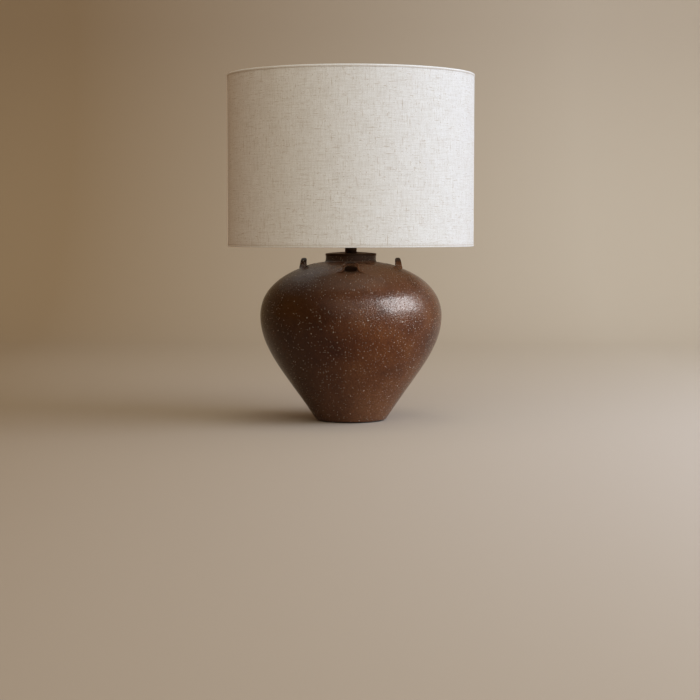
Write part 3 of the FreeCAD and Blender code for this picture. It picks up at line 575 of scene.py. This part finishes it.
# Strap lugs, each a rolled strap pressed and smeared on the shoulder
lugShape = {
    "sideReach": 0.098, "frontReach": 0.112, "lean": 0.0024, "seed": 3.7, "lumps": 0.0004, "lumpScale": 130,
    "steps": 13, "sides": 20, "flatness": 0.72, "ease": 0.0006, "follow": (0.006, 0.020),
    "upper": ((0, 0.0171), (0.0084, 0.0171), (0.0143, 0.0150), (0.0146, 0.0082)),
    "lower": ((0.0146, 0.0082), (0.0148, 0.0038), (0.0190, 0.0014), (0.0318, -0.0008)),
    "thickness": (0.0040, 0.0042, 0.0046, 0.0046, 0.0020), "depth": (0.0095, 0.0110, 0.0130, 0.0150, 0.0090),
}
eyeShadowShape = {"width": 0.0140, "depth": 0.0165, "flatness": 0.8, "inset": 0.012, "lift": 0.0005,
             "edge": (0.75, 1.0), "sides": 40, "rings": 4, "ringStep": 0.2, "sheet": 0.002}


def alongTable(values, share):
    place = share * (len(values) - 1)
    index = min(int(place), len(values) - 2)
    return values[index] + (values[index + 1] - values[index]) * (place - index)


def makeLug(name, node, angle, reach):
    shape = lugShape
    upper, lower = [interpolate_bezier(*upright(shape[part]), shape["steps"]) for part in ("upper", "lower")]
    half = upper + lower[1:]
    count = len(half) - 1
    route = [Vector((-p.x, 0, p.z)) for p in reversed(half[1:])] + half
    frames, side = [], awayFromFront
    for index, point in enumerate(route):
        share = abs(index - count) / count
        along = (route[min(index + 1, 2 * count)] - route[max(index - 1, 0)]).normalized()
        thick, deep = [alongTable(shape[key], share) / 2 for key in ("thickness", "depth")]
        axes = Matrix((along.cross(side) * thick, side * deep, along * thick)).transposed()
        centre = point + side * (reach - shape["lean"] * max(point.z, 0) / half[0].z)
        frames.append(Matrix.Translation(centre) @ axes.to_4x4())
    bm = loftedMesh(frames, shape["sides"], shape["flatness"])
    easeEdges(bm, endEdges(bm), shape["ease"], 2)
    seed = Vector((shape["seed"] * angle, 0, 0))
    level = shoulderHeight(reach)
    for vert in bm.verts:
        follow = 1 - smoothStep(vert.co.z, *shape["follow"])
        ground = shoulderHeight(math.hypot(*vert.co.xy))
        vert.co.z += level + (ground - level) * follow
        vert.co += vert.normal * noise.noise(vert.co * shape["lumpScale"] + seed) * shape["lumps"]
    bmesh.ops.rotate(bm, verts=bm.verts[:], cent=(0, 0, 0), matrix=turnedBy(angle))
    piece = finishMesh(bm, name, 60)
    smooth = piece.modifiers.new("roundOver", "SUBSURF")
    smooth.levels = smooth.render_levels = 1
    joinLamp(piece, "base", "stoneware", node)


def makeEyeShadow(name, angle, reach):
    # Painted shadow: a thin dark sheet without gloss laid in the eye of a lug, where the strap shades the
    # shoulder
    shape = eyeShadowShape
    bm = discMesh(shape["sides"])
    for ring in range(shape["rings"]):
        inner = max(bm.faces, key=lambda face: face.calc_area())
        bmesh.ops.inset_region(bm, faces=[inner], thickness=shape["ringStep"], use_boundary=True,
                               use_even_offset=True)
    falls = [smoothStep(vert.co.length, *shape["edge"]) for vert in bm.verts]
    squareOff(bm, shape["flatness"])
    for vert, fall in zip(bm.verts, falls):
        place = Vector((vert.co.x * shape["width"], reach - shape["inset"] + vert.co.y * shape["depth"], 0))
        place.z = shoulderHeight(place.length)
        place = turnedBy(angle) @ place
        place.z += handWork(place) + shape["lift"] * (1 - 2 * fall)
        vert.co = place
    bm.normal_update()
    thicken(bm, (0, 0, -shape["sheet"]))
    joinLamp(finishMesh(bm, name), "base", "stoneware", finish="eyeShadowSheet")


for side, angle in (("Back", 0), ("Left", 90), ("Front", 180), ("Right", 270)):
    reach = lugShape["frontReach" if angle % 180 == 0 else "sideReach"]
    makeLug("lug" + side, "lug_" + side.lower(), angle, reach)
    makeEyeShadow("eyeShadowPiece" + side, angle, reach)
print("lugs pressed on")

# Felt pad under the foot
feltShape = {"round": 0.0005, "steps": 128}
joinTurned("feltPad", ringOutline(*span("felt_pad"), 0, feltShape["round"]), "base", "felt", "felt_pad",
           steps=feltShape["steps"])

# Vase cap, neck tube with its washer, and the harp's saddle
capShape = {"skirt": 0.0519, "skirtSheet": 0.001, "sheet": 0.0012, "rise": 0.0032, "edge": 0.0015,
            "hub": 0.013, "crown": (0.0324, 0.891), "hole": 0.0051, "bore": 0.0425, "domeSteps": 14,
            "rounds": (0, 0.0002, 0.0003, 0.00135), "steps": 160}
tubeShape = {"wall": 0.0015, "round": 0.0004, "washerRound": 0.0006, "saddleRound": 0.0003}


def makeCap():
    shape = capShape
    low, top = span("vase_cap")[:2]
    edgeTop = top - shape["rise"]
    skirt, under = shape["skirt"], top - shape["sheet"]
    start = Vector((skirt - shape["edge"], 0, edgeTop))
    hub = Vector((shape["hub"], 0, top))
    crown = Vector((shape["crown"][0], 0, edgeTop + shape["crown"][1] * shape["rise"]))
    dome = cornerCurve(start, crown, hub, 0.5, shape["domeSteps"])
    inside = skirt - shape["skirtSheet"]
    outline = list(zip((inside, inside, skirt, skirt), (jarLip, low, low, edgeTop), shape["rounds"]))
    outline += [(p.x, p.z, 0) for p in dome]
    outline += [(shape["hole"], top, 0), (shape["hole"], under, 0), (shape["hub"], under, 0),
                (shape["bore"], jarLip, 0)]
    joinTurned("vaseCap", outline, "base", "dark_bronze", "vase_cap", steps=shape["steps"])


makeCap()
tube = span("neck_tube")
joinTurned("neckTube", ringOutline(*tube, tube[2] - tubeShape["wall"], tubeShape["round"]), "base",
           "dark_bronze", "neck_tube")
joinTurned("tubeWasher", ringOutline(*span("tube_washer"), capShape["hole"], tubeShape["washerRound"]),
           "base", "dark_bronze", "tube_washer")
joinLamp(bevelledCopy("harp_saddle", "harpSaddle", tubeShape["saddleRound"]), "base", "dark_bronze",
         "harp_saddle")
print("neck metalwork turned")

# Cord grommet in the back of the jar: its outline runs round its own axis, out through the wall
grommetShape = {"outline": ((0.0038, -0.0115, 0.0003), (0.0075, -0.0115, 0.0005), (0.0065, -0.0097, 0),
                            (0.0065, -0.003, 0), (0.0095, -0.003, 0.0003), (0.0095, 0.0022, 0.0009),
                            (0.0038, 0.0022, 0.0006)),
                "mouth": (0, 0.093538, 0.034), "out": (0, 0.820883, -0.571096), "steps": 64}


def makeGrommet():
    shape = grommetShape
    piece = turnedPiece("cordGrommet", shape["outline"], shape["steps"])
    turn = Vector(shape["out"]).to_track_quat("Z", "Y").to_matrix().to_4x4()
    piece.data.transform(Matrix.Translation(shape["mouth"]) @ turn)
    joinLamp(piece, "base", "rubber", "cord_grommet")


makeGrommet()

# Harp with its swivel bush, stud, sleeves and the finial
harpShape = {"wire": 0.0017, "leg": 0.0305, "halfWidth": 0.058, "legHeight": 0.044, "flare": 0.045,
             "side": 0.090, "topHalf": 0.016, "bends": (0, 0.030, 0.050, 0.050, 0.025), "bendSteps": 10,
             "sides": 16, "bush": 0.005, "bushHeight": 0.005, "pin": 0.00255, "bushRounds": (0.0006, 0.0002)}
studShape = {"flange": 0.0065, "flangeHeight": 0.002, "rivet": 0.0042, "rivetHeight": 0.0012, "pin": 0.0025,
             "thread": 0.003175, "threadPitch": 0.00094, "threadDepth": 0.00022, "tipShare": 0.7,
             "rounds": (0, 0.0005, 0, 0, 0, 0.0003, 0.0003)}
sleeveShape = {"reach": 0.02945, "wall": 0.0011, "taper": 0.0005, "bead": 0.0004,
               "beadHeights": (0.002, 0.0024), "rounds": (0.0002, 0.0003, 0.0003, 0, 0.0004, 0.0002)}
finialShape = {"foot": ((0.0035, 0, 0), (0.007, 0, 0.0004), (0.007, 0.003, 0.0007), (0.0042, 0.0045, 0.001),
                        (0.0042, 0.0062, 0.0006)),
               "neck": 0.0042, "startShare": 0.92, "ballSteps": 16, "bore": 0.0035, "crown": 0.0095,
               "steps": 64}
smallSteps = 48
harpFoot, harpTop = span("harp")[:2]


def makeHarp():
    shape = harpShape
    leg, halfWidth, bushHeight = shape["leg"], shape["halfWidth"], shape["bushHeight"]
    legTop = harpFoot + shape["legHeight"]
    sideLow = legTop + shape["flare"]
    half = [(leg, harpFoot), (leg, legTop), (halfWidth, sideLow), (halfWidth, sideLow + shape["side"]),
            (shape["topHalf"], harpTop - bushHeight / 2)]
    points = upright(half + [(-across, height) for across, height in reversed(half)])
    route = bentLine(points, shape["bends"] + shape["bends"][::-1], shape["bendSteps"])
    bm = loftedMesh(wireFrames(route, shape["wire"]), shape["sides"])
    joinLamp(finishMesh(bm, "harpWire"), "harp", "dark_bronze", "harp")
    bush = ringOutline(harpTop - bushHeight, harpTop, shape["bush"], shape["pin"], *shape["bushRounds"])
    joinTurned("harpBush", bush, "harp", "dark_bronze", steps=smallSteps)


def makeStud():
    shape = studShape
    low, top = span("harp_stud")[:2]
    rivetTop, seat = low + shape["rivetHeight"], harpTop + shape["flangeHeight"]
    rivet, pin, flange = shape["rivet"], shape["pin"], shape["flange"]
    outline = list(zip((0, rivet, rivet, pin, pin, flange, flange),
                       (low, low, rivetTop, rivetTop, harpTop, harpTop, seat), shape["rounds"]))
    root, height = shape["thread"] - shape["threadDepth"], seat
    while height < top - shape["threadPitch"]:
        outline += [(root, height, 0), (shape["thread"], height + shape["threadPitch"] / 2, 0)]
        height += shape["threadPitch"]
    outline += [(root, height, 0), (shape["thread"] * shape["tipShare"], top, 0), (0, top, 0)]
    joinTurned("harpStud", outline, "harp_stud", "brass", "harp_stud", steps=smallSteps)


def makeSleeve(name, node, side):
    shape = sleeveShape
    low, high, wide = span(node)
    bore = wide - shape["wall"]
    radii = (bore, wide, wide, wide - shape["bead"], wide - shape["taper"], bore)
    heights = (low, low, *[low + height for height in shape["beadHeights"]], high, high)
    piece = turnedPiece(name, zip(radii, heights, shape["rounds"]), smallSteps)
    piece.data.transform(Matrix.Translation((side * shape["reach"], 0, 0)))
    joinLamp(piece, node, "dark_bronze", node)


def makeFinial():
    shape = finialShape
    low, top, ball = span("finial")
    start = -math.acos(shape["neck"] / ball) * shape["startShare"]
    outline = [(radius, low + height, rounding) for radius, height, rounding in shape["foot"]]
    outline += [(*point, 0) for point in arcToTop(ball, top - ball, start, shape["ballSteps"])]
    outline += [(0, top - shape["crown"], 0), (shape["bore"], top - shape["crown"], 0)]
    joinTurned("finialKnob", outline, "finial", "dark_bronze", "finial", steps=shape["steps"])


makeHarp()
makeStud()
makeSleeve("harpSleeveRight", "harp_sleeve_right", 1)
makeSleeve("harpSleeveLeft", "harp_sleeve_left", -1)
makeFinial()
print("harp, sleeves and finial made")

# Lamp holder and its turn knob
holderShape = {"hub": 0.008, "hubHeight": 0.007, "sheet": 0.0008, "rod": 0.00495, "coneShare": 0.8,
               "bead": 0.0012,
               "rounds": (0, 0.0003, 0.0012, 0.003, 0.0004, 0.0004, 0.0002, 0.0022, 0.0008, 0)}
screwShape = {"hole": 0.008, "threads": 6, "threadDepth": 0.0006, "sheet": 0.0007, "low": 0.002,
              "high": 0.001, "cornerRound": 0.0004, "rimRound": 0.0002, "insideRound": 0.0003}
knobShape = {"flutes": 14, "fluteDepth": 0.0007, "ease": 0.0006, "sides": 112}


def makeSocketCap():
    shape = holderShape
    low, high, rim = span("socket_cap")
    hub, rod, sheet = shape["hub"], shape["rod"], shape["sheet"]
    hubTop = low + shape["hubHeight"]
    coneTop = hubTop + (span("socket_shell")[0] - hubTop) * shape["coneShare"]
    radii = (rod, hub, hub, rim, rim, rim, rim - sheet, rim - sheet, hub - sheet, rod)
    heights = (low, low, hubTop - sheet, coneTop - sheet, high - shape["bead"], high, high, coneTop, hubTop,
               hubTop)
    joinTurned("socketCap", zip(radii, heights, shape["rounds"]), "base", "brass", "socket_cap")


def makeScrewShell():
    shape = screwShape
    low, high, outer = span("screw_shell")
    inner = outer - shape["sheet"]
    step = (high - low - shape["low"] - shape["high"]) / shape["threads"]
    wave = []
    for turn in range(shape["threads"]):
        start = low + shape["low"] + turn * step
        wave += [(shape["threadDepth"], start), (0.0, start + step / 2)]
    outline = [(shape["hole"], low, 0), (outer, low, shape["cornerRound"])]
    outline += [(outer - dip, height, 0) for dip, height in wave]
    outline += [(outer, high, shape["rimRound"]), (inner, high, shape["rimRound"])]
    outline += [(inner - dip, height, 0) for dip, height in reversed(wave)]
    outline += [(inner, low + shape["sheet"], shape["insideRound"]), (shape["hole"], low + shape["sheet"], 0)]
    joinTurned("screwShell", outline, "base", "brass", "screw_shell")


def makeKnob():
    shape = knobShape
    low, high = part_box("switch_knob")
    radius = (high.z - low.z) / 2
    bm = discMesh(shape["sides"], radius)
    for vert in bm.verts:
        angle = math.atan2(vert.co.y, vert.co.x) * shape["flutes"]
        vert.co *= 1 - shape["fluteDepth"] / radius * max(math.cos(angle), 0) ** 2
    thicken(bm, (0, 0, high.y - low.y))
    easeEdges(bm, endEdges(bm), shape["ease"], 3)
    piece = finishMesh(bm, "switchKnob")
    place = Matrix.Translation((0, high.y, (low.z + high.z) / 2))
    piece.data.transform(place @ Matrix.Rotation(math.pi / 2, 4, "X"))
    joinLamp(piece, "switch", "black_plastic", "switch_knob")


makeSocketCap()
makeScrewShell()
makeKnob()
print("lamp holder made")

# Bulb
bulbShape = {"neckShares": (0.36, 0.62), "sphereShare": 0.2, "sphere": 0.030, "glass": 0.0008,
             "neckSteps": 20, "sphereSteps": 24, "steps": 96, "pitch": 0.00363, "threads": 5,
             "threadDepth": 0.0007, "threadSteps": 8, "sheet": 0.0005, "rim": 0.0003, "rimHeight": 0.0012,
             "rimRound": 0.0002}
capLow, capTop, capRadius = span("bulb_cap")
capRoot = capRadius - bulbShape["threadDepth"]
capBore = capRoot - bulbShape["sheet"]


def makeEnvelope():
    shape = bulbShape
    low, top = span("bulb_envelope")[:2]
    middle = top - shape["sphere"]
    outside, inside = [], []
    for inset, line in ((0, outside), (shape["glass"], inside)):
        neck, radius = capBore - inset, shape["sphere"] - inset
        belt = middle - radius * shape["sphereShare"]
        beltRadius = math.sqrt(radius ** 2 - (middle - belt) ** 2)
        run = belt - capTop
        reach = run * (1 - shape["neckShares"][1])
        slope = (middle - belt) / beltRadius
        bend = upright(((neck, capTop), (neck, capTop + run * shape["neckShares"][0]),
                        (beltRadius - slope * reach, belt - reach), (beltRadius, belt)))
        arc = arcToTop(radius, middle, math.atan2(belt - middle, beltRadius), shape["sphereSteps"])
        line += upright([(neck, low)]) + interpolate_bezier(*bend, shape["neckSteps"]) + upright(arc[1:])
    piece = finishMesh(spunMesh(outside + inside[::-1], shape["steps"]), "bulbEnvelope")
    joinLamp(piece, "bulb", "frosted_glass", "bulb_envelope")


def makeBulbCap():
    shape = bulbShape
    outline = [(capBore, capLow, 0), (capRoot, capLow, 0)]
    for step in range(1, shape["threads"] * shape["threadSteps"] + 1):
        share = step / shape["threadSteps"]
        swell = shape["threadDepth"] * abs(math.sin(math.pi * share))
        outline.append((capRoot + swell, capLow + share * shape["pitch"], 0))
    outline += [(capRoot, capTop - shape["rimHeight"], 0),
                (capRoot + shape["rim"], capTop, shape["rimRound"]), (capBore, capTop, 0)]
    joinTurned("bulbCap", outline, "bulb", "bulb_cap_metal", "bulb_cap")


makeEnvelope()
makeBulbCap()
print("bulb blown")

# Drum shade
shadeShape = {"linenSheet": 0.0007, "segments": 256, "rows": 48, "linerSheet": 0.001, "hemSheet": 0.0007,
              "hemOutside": 0.005, "hemInside": 0.0046,
              "hemRounds": (0.0002, 0.0003, 0.0012, 0.0010, 0.0003, 0.0002, 0, 0),
              "pucker": 0.00012, "puckerScale": (26, 60), "wave": 0.0001, "waveScale": (6, 6, 3)}
linenLow, linenTop, linenRadius = span("shade_linen")
liner = span("shade_liner")
ringLow, ringTop, ringRadius = span("shade_top_ring")
clothRadius = (linenRadius + liner[2]) / 2


def mapCloth(bm):
    # The cloth's own map in metres: along its width round the shade, and up its height
    uv = bm.loops.layers.uv.new("cloth")
    for face in bm.faces:
        middle = face.calc_center_median()
        facing = math.atan2(middle.y, middle.x)
        for loop in face.loops:
            place = loop.vert.co
            angle = math.atan2(place.y, place.x)
            if angle - facing > math.pi:
                angle -= math.tau
            elif facing - angle > math.pi:
                angle += math.tau
            loop[uv].uv = (angle * clothRadius, place.z + clothRadius - math.hypot(place.x, place.y))


def makeLinen():
    shape = shadeShape
    bm = bmesh.new()
    bmesh.ops.create_circle(bm, segments=shape["segments"], radius=clothRadius,
                            matrix=Matrix.Translation((0, 0, linenLow)))
    rim = bm.edges[:]
    rise = (linenTop - linenLow) / shape["rows"]
    for row in range(shape["rows"]):
        rim = growRim(bm, rim, Matrix.Translation((0, 0, rise)))
    faceOut(bm)
    mapCloth(bm)
    for vert in bm.verts:
        vert.co += outward(vert.co) * noise.noise(vert.co * Vector(shape["waveScale"])) * shape["wave"]
    piece = finishMesh(bm, "shadeLinen")
    cloth = piece.modifiers.new("clothThickness", "SOLIDIFY")
    cloth.thickness = shape["linenSheet"]
    cloth.offset = 0
    return joinLamp(piece, "shade", "linen", "shade_linen")


def makeHem(name, node, isTop):
    # A tape folded over the rim: outside leg, fold and inside leg
    shape = shadeShape
    low, high, outer = span(node)
    sheet, outside, inside = shape["hemSheet"], shape["hemOutside"], shape["hemInside"]
    inner = ringRadius - (ringTop - ringLow) - sheet
    rim, lean = (high, -1) if isTop else (low, 1)
    radii = (outer - sheet, outer, outer, inner, inner, inner + sheet, inner + sheet, outer - sheet)
    heights = [rim + lean * depth for depth in (outside, outside, 0, 0, inside, inside, sheet, sheet)]
    bm = turnedMesh(zip(radii, heights, shape["hemRounds"]), shape["segments"])
    mapCloth(bm)
    around, upward = shape["puckerScale"]
    for vert in bm.verts:
        facing = outward(vert.co)
        pucker = noise.noise(facing * around + lampAxis * vert.co.z * upward)
        vert.co += facing * pucker * shape["pucker"]
    return joinLamp(finishMesh(bm, name, 50), "shade", "linen", node, finish="hem")


spiderShape = {"wire": 0.0013, "flat": 0.012, "bend": 0.012, "bendSteps": 8, "sunk": 0.002, "sides": 12,
               "hubRounds": (0.0004, 0.0002), "hubSteps": 64, "hole": 0.0035, "firstArm": 90,
               "otherArms": (120, 240)}


def makeSpider():
    shape = spiderShape
    low, high, hub = span("spider_hub")
    middle, ringMiddle = (low + high) / 2, (ringLow + ringTop) / 2
    end = ringRadius - (ringTop - ringLow) / 2
    points = upright(((hub - shape["sunk"], middle), (hub + shape["flat"], middle),
                      (end - shape["flat"], ringMiddle), (end, ringMiddle)))
    route = bentLine(points, (0, shape["bend"], shape["bend"], 0), shape["bendSteps"])
    arms = loftedMesh(wireFrames(route, shape["wire"]), shape["sides"])
    single = arms.verts[:] + arms.edges[:] + arms.faces[:]
    bmesh.ops.rotate(arms, verts=arms.verts[:], cent=(0, 0, 0), matrix=turnedBy(shape["firstArm"]))
    for angle in shape["otherArms"]:
        another = bmesh.ops.duplicate(arms, geom=single)["geom"]
        bmesh.ops.rotate(arms, verts=vertsIn(another), cent=(0, 0, 0), matrix=turnedBy(angle))
    joinLamp(finishMesh(arms, "spiderArms"), "shade", "white_enamel", "spider_arms")
    joinTurned("spiderHub", ringOutline(low, high, hub, shape["hole"], *shape["hubRounds"]), "shade",
               "white_enamel", "spider_hub", steps=shape["hubSteps"])
    for name, node in (("shadeTopRing", "shade_top_ring"), ("shadeBottomRing", "shade_bottom_ring")):
        joinLamp(turnedRing(name, node), "shade", "white_enamel", node)


linenPiece = makeLinen()
hemTop = makeHem("shadeTopHem", "shade_top_hem", True)
hemBottom = makeHem("shadeBottomHem", "shade_bottom_hem", False)
joinTurned("shadeLiner", ringOutline(*liner, liner[2] - shadeShape["linerSheet"]), "shade", "shade_liner",
           "shade_liner", steps=shadeShape["segments"])
makeSpider()
print("shade covered")

# Nodes that keep their own shape
plainNodes = {
    "zinc": ("bottom_washer", "lock_washer", "bottom_nut", "threaded_rod"), "rubber": ("centring_bung",),
    "brass": ("socket_shell",), "board": ("socket_insulator",), "black_plastic": ("socket_holder",),
    "contact": ("terminal_screws", "centre_contact", "switch_shaft", "bulb_tip"),
    "blackGlass": ("bulb_tip_insulator",), "clear": ("bulb_stem",), "wire": ("bulb_filament",),
}
for finish, nodes in plainNodes.items():
    for node in nodes:
        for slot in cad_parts[node].material_slots:
            slot.material = finishes[finish]

# Studio: a seamless sweep with painted shade across it, a soft glow high on one side, and lights with their
# direction from the lamp, size, power and colour
studio = {"sweepShaded": (0.25, 0.16, 0.085), "sweepLit": (0.52, 0.44, 0.375), "sweepShadeTurn": (-1.1, 0.9),
          "front": -7.0, "back": 3.4, "cove": 1.2, "coveSteps": 24, "wallTop": 6.0, "halfWidth": 9.0,
          "aim": (0, 0, 0.30), "distance": 2.6,
          "lights": {"window": ((0.818, -0.312, 0.485), (2.15, 1.15), 19.0, (0.74, 0.98, 1.65)),
                     "glint": ((0.821, -0.305, 0.485), (2.15, 1.55), 215, (1.0, 0.99, 1.0))},
          "glow": (0.587, -0.492, 0.643), "glowFrom": 0.1, "glowColour": (1.545, 1.62, 1.45),
          "dimColour": (0.240, 0.105, 0.018)}


def makeSweep():
    shape = studio
    points = [Vector((0, shape["front"], 0)), Vector((0, shape["back"], 0)),
              Vector((0, shape["back"], shape["wallTop"]))]
    line = bentLine(points, (0, shape["cove"], 0), shape["coveSteps"])
    bm = bmesh.new()
    verts = [bm.verts.new(point + Vector((-shape["halfWidth"], 0, 0))) for point in line]
    edges = [bm.edges.new(pair) for pair in zip(verts, verts[1:])]
    growRim(bm, edges, Matrix.Translation((2 * shape["halfWidth"], 0, 0)))
    faceOut(bm)
    sweep = finishMesh(bm, "studioSweep", 60)
    paper = Finish("studioPaper", 0.9)
    # Painted shade: the paper darkens towards -X and lightens towards +X
    side = paper.add("ShaderNodeSeparateXYZ", {"Vector": paper.coordinates()}).outputs["X"]
    share = paper.spread(side, *shape["sweepShadeTurn"])
    paper.shade({"Base Color": paper.blend(share, shape["sweepShaded"], shape["sweepLit"])})
    sweep.data.materials.append(paper.material)


def makeLight():
    shape = studio
    world = bpy.data.worlds.new("studioGlow")
    bpy.context.scene.world = world
    world.use_nodes = True
    tree = world.node_tree
    place = addNode(tree, "ShaderNodeTexCoord", {}).outputs["Generated"]
    facing = addNode(tree, "ShaderNodeVectorMath", {0: place, 1: shape["glow"]}, operation="DOT_PRODUCT")
    limits = {"Value": facing.outputs["Value"], "From Min": shape["glowFrom"]}
    share = addNode(tree, "ShaderNodeMapRange", limits, interpolation_type="SMOOTHSTEP").outputs["Result"]
    colours = {0: share, 6: shape["dimColour"], 7: shape["glowColour"]}
    glow = addNode(tree, "ShaderNodeMix", colours, data_type="RGBA")
    feed(tree, tree.nodes["Background"].inputs["Color"], glow.outputs[2])
    # The window lights the lamp, and its bright panes show only in the gloss
    for name, (toward, size, power, colour) in shape["lights"].items():
        light = bpy.data.lights.new(name, "AREA")
        light.shape = "RECTANGLE"
        light.size, light.size_y = size
        light.energy = power
        light.color = colour
        lamp = addObject(name, light)
        lamp.location = Vector(shape["aim"]) + Vector(toward) * shape["distance"]
        lamp.rotation_euler = Vector(toward).to_track_quat("Z", "Y").to_euler()
        lamp.visible_diffuse = name == "window"
        lamp.visible_glossy = name == "glint"


def makeCamera():
    view = {"place": (-0.0018, -3.4559, 0.3947), "tilt": 0.07271, "focalPixels": 1692.96, "framePixels": 700,
            "sensor": 36}
    camera = bpy.data.cameras.new("camera")
    camera.sensor_width = view["sensor"]
    camera.lens = view["sensor"] * view["focalPixels"] / view["framePixels"]
    holder = addObject("camera", camera)
    holder.location = view["place"]
    holder.rotation_euler = (math.pi / 2 - view["tilt"], 0, 0)
    bpy.context.scene.camera = holder


makeSweep()
makeLight()
makeCamera()
bpy.context.scene.view_settings.view_transform = "Standard"
print("studio set")
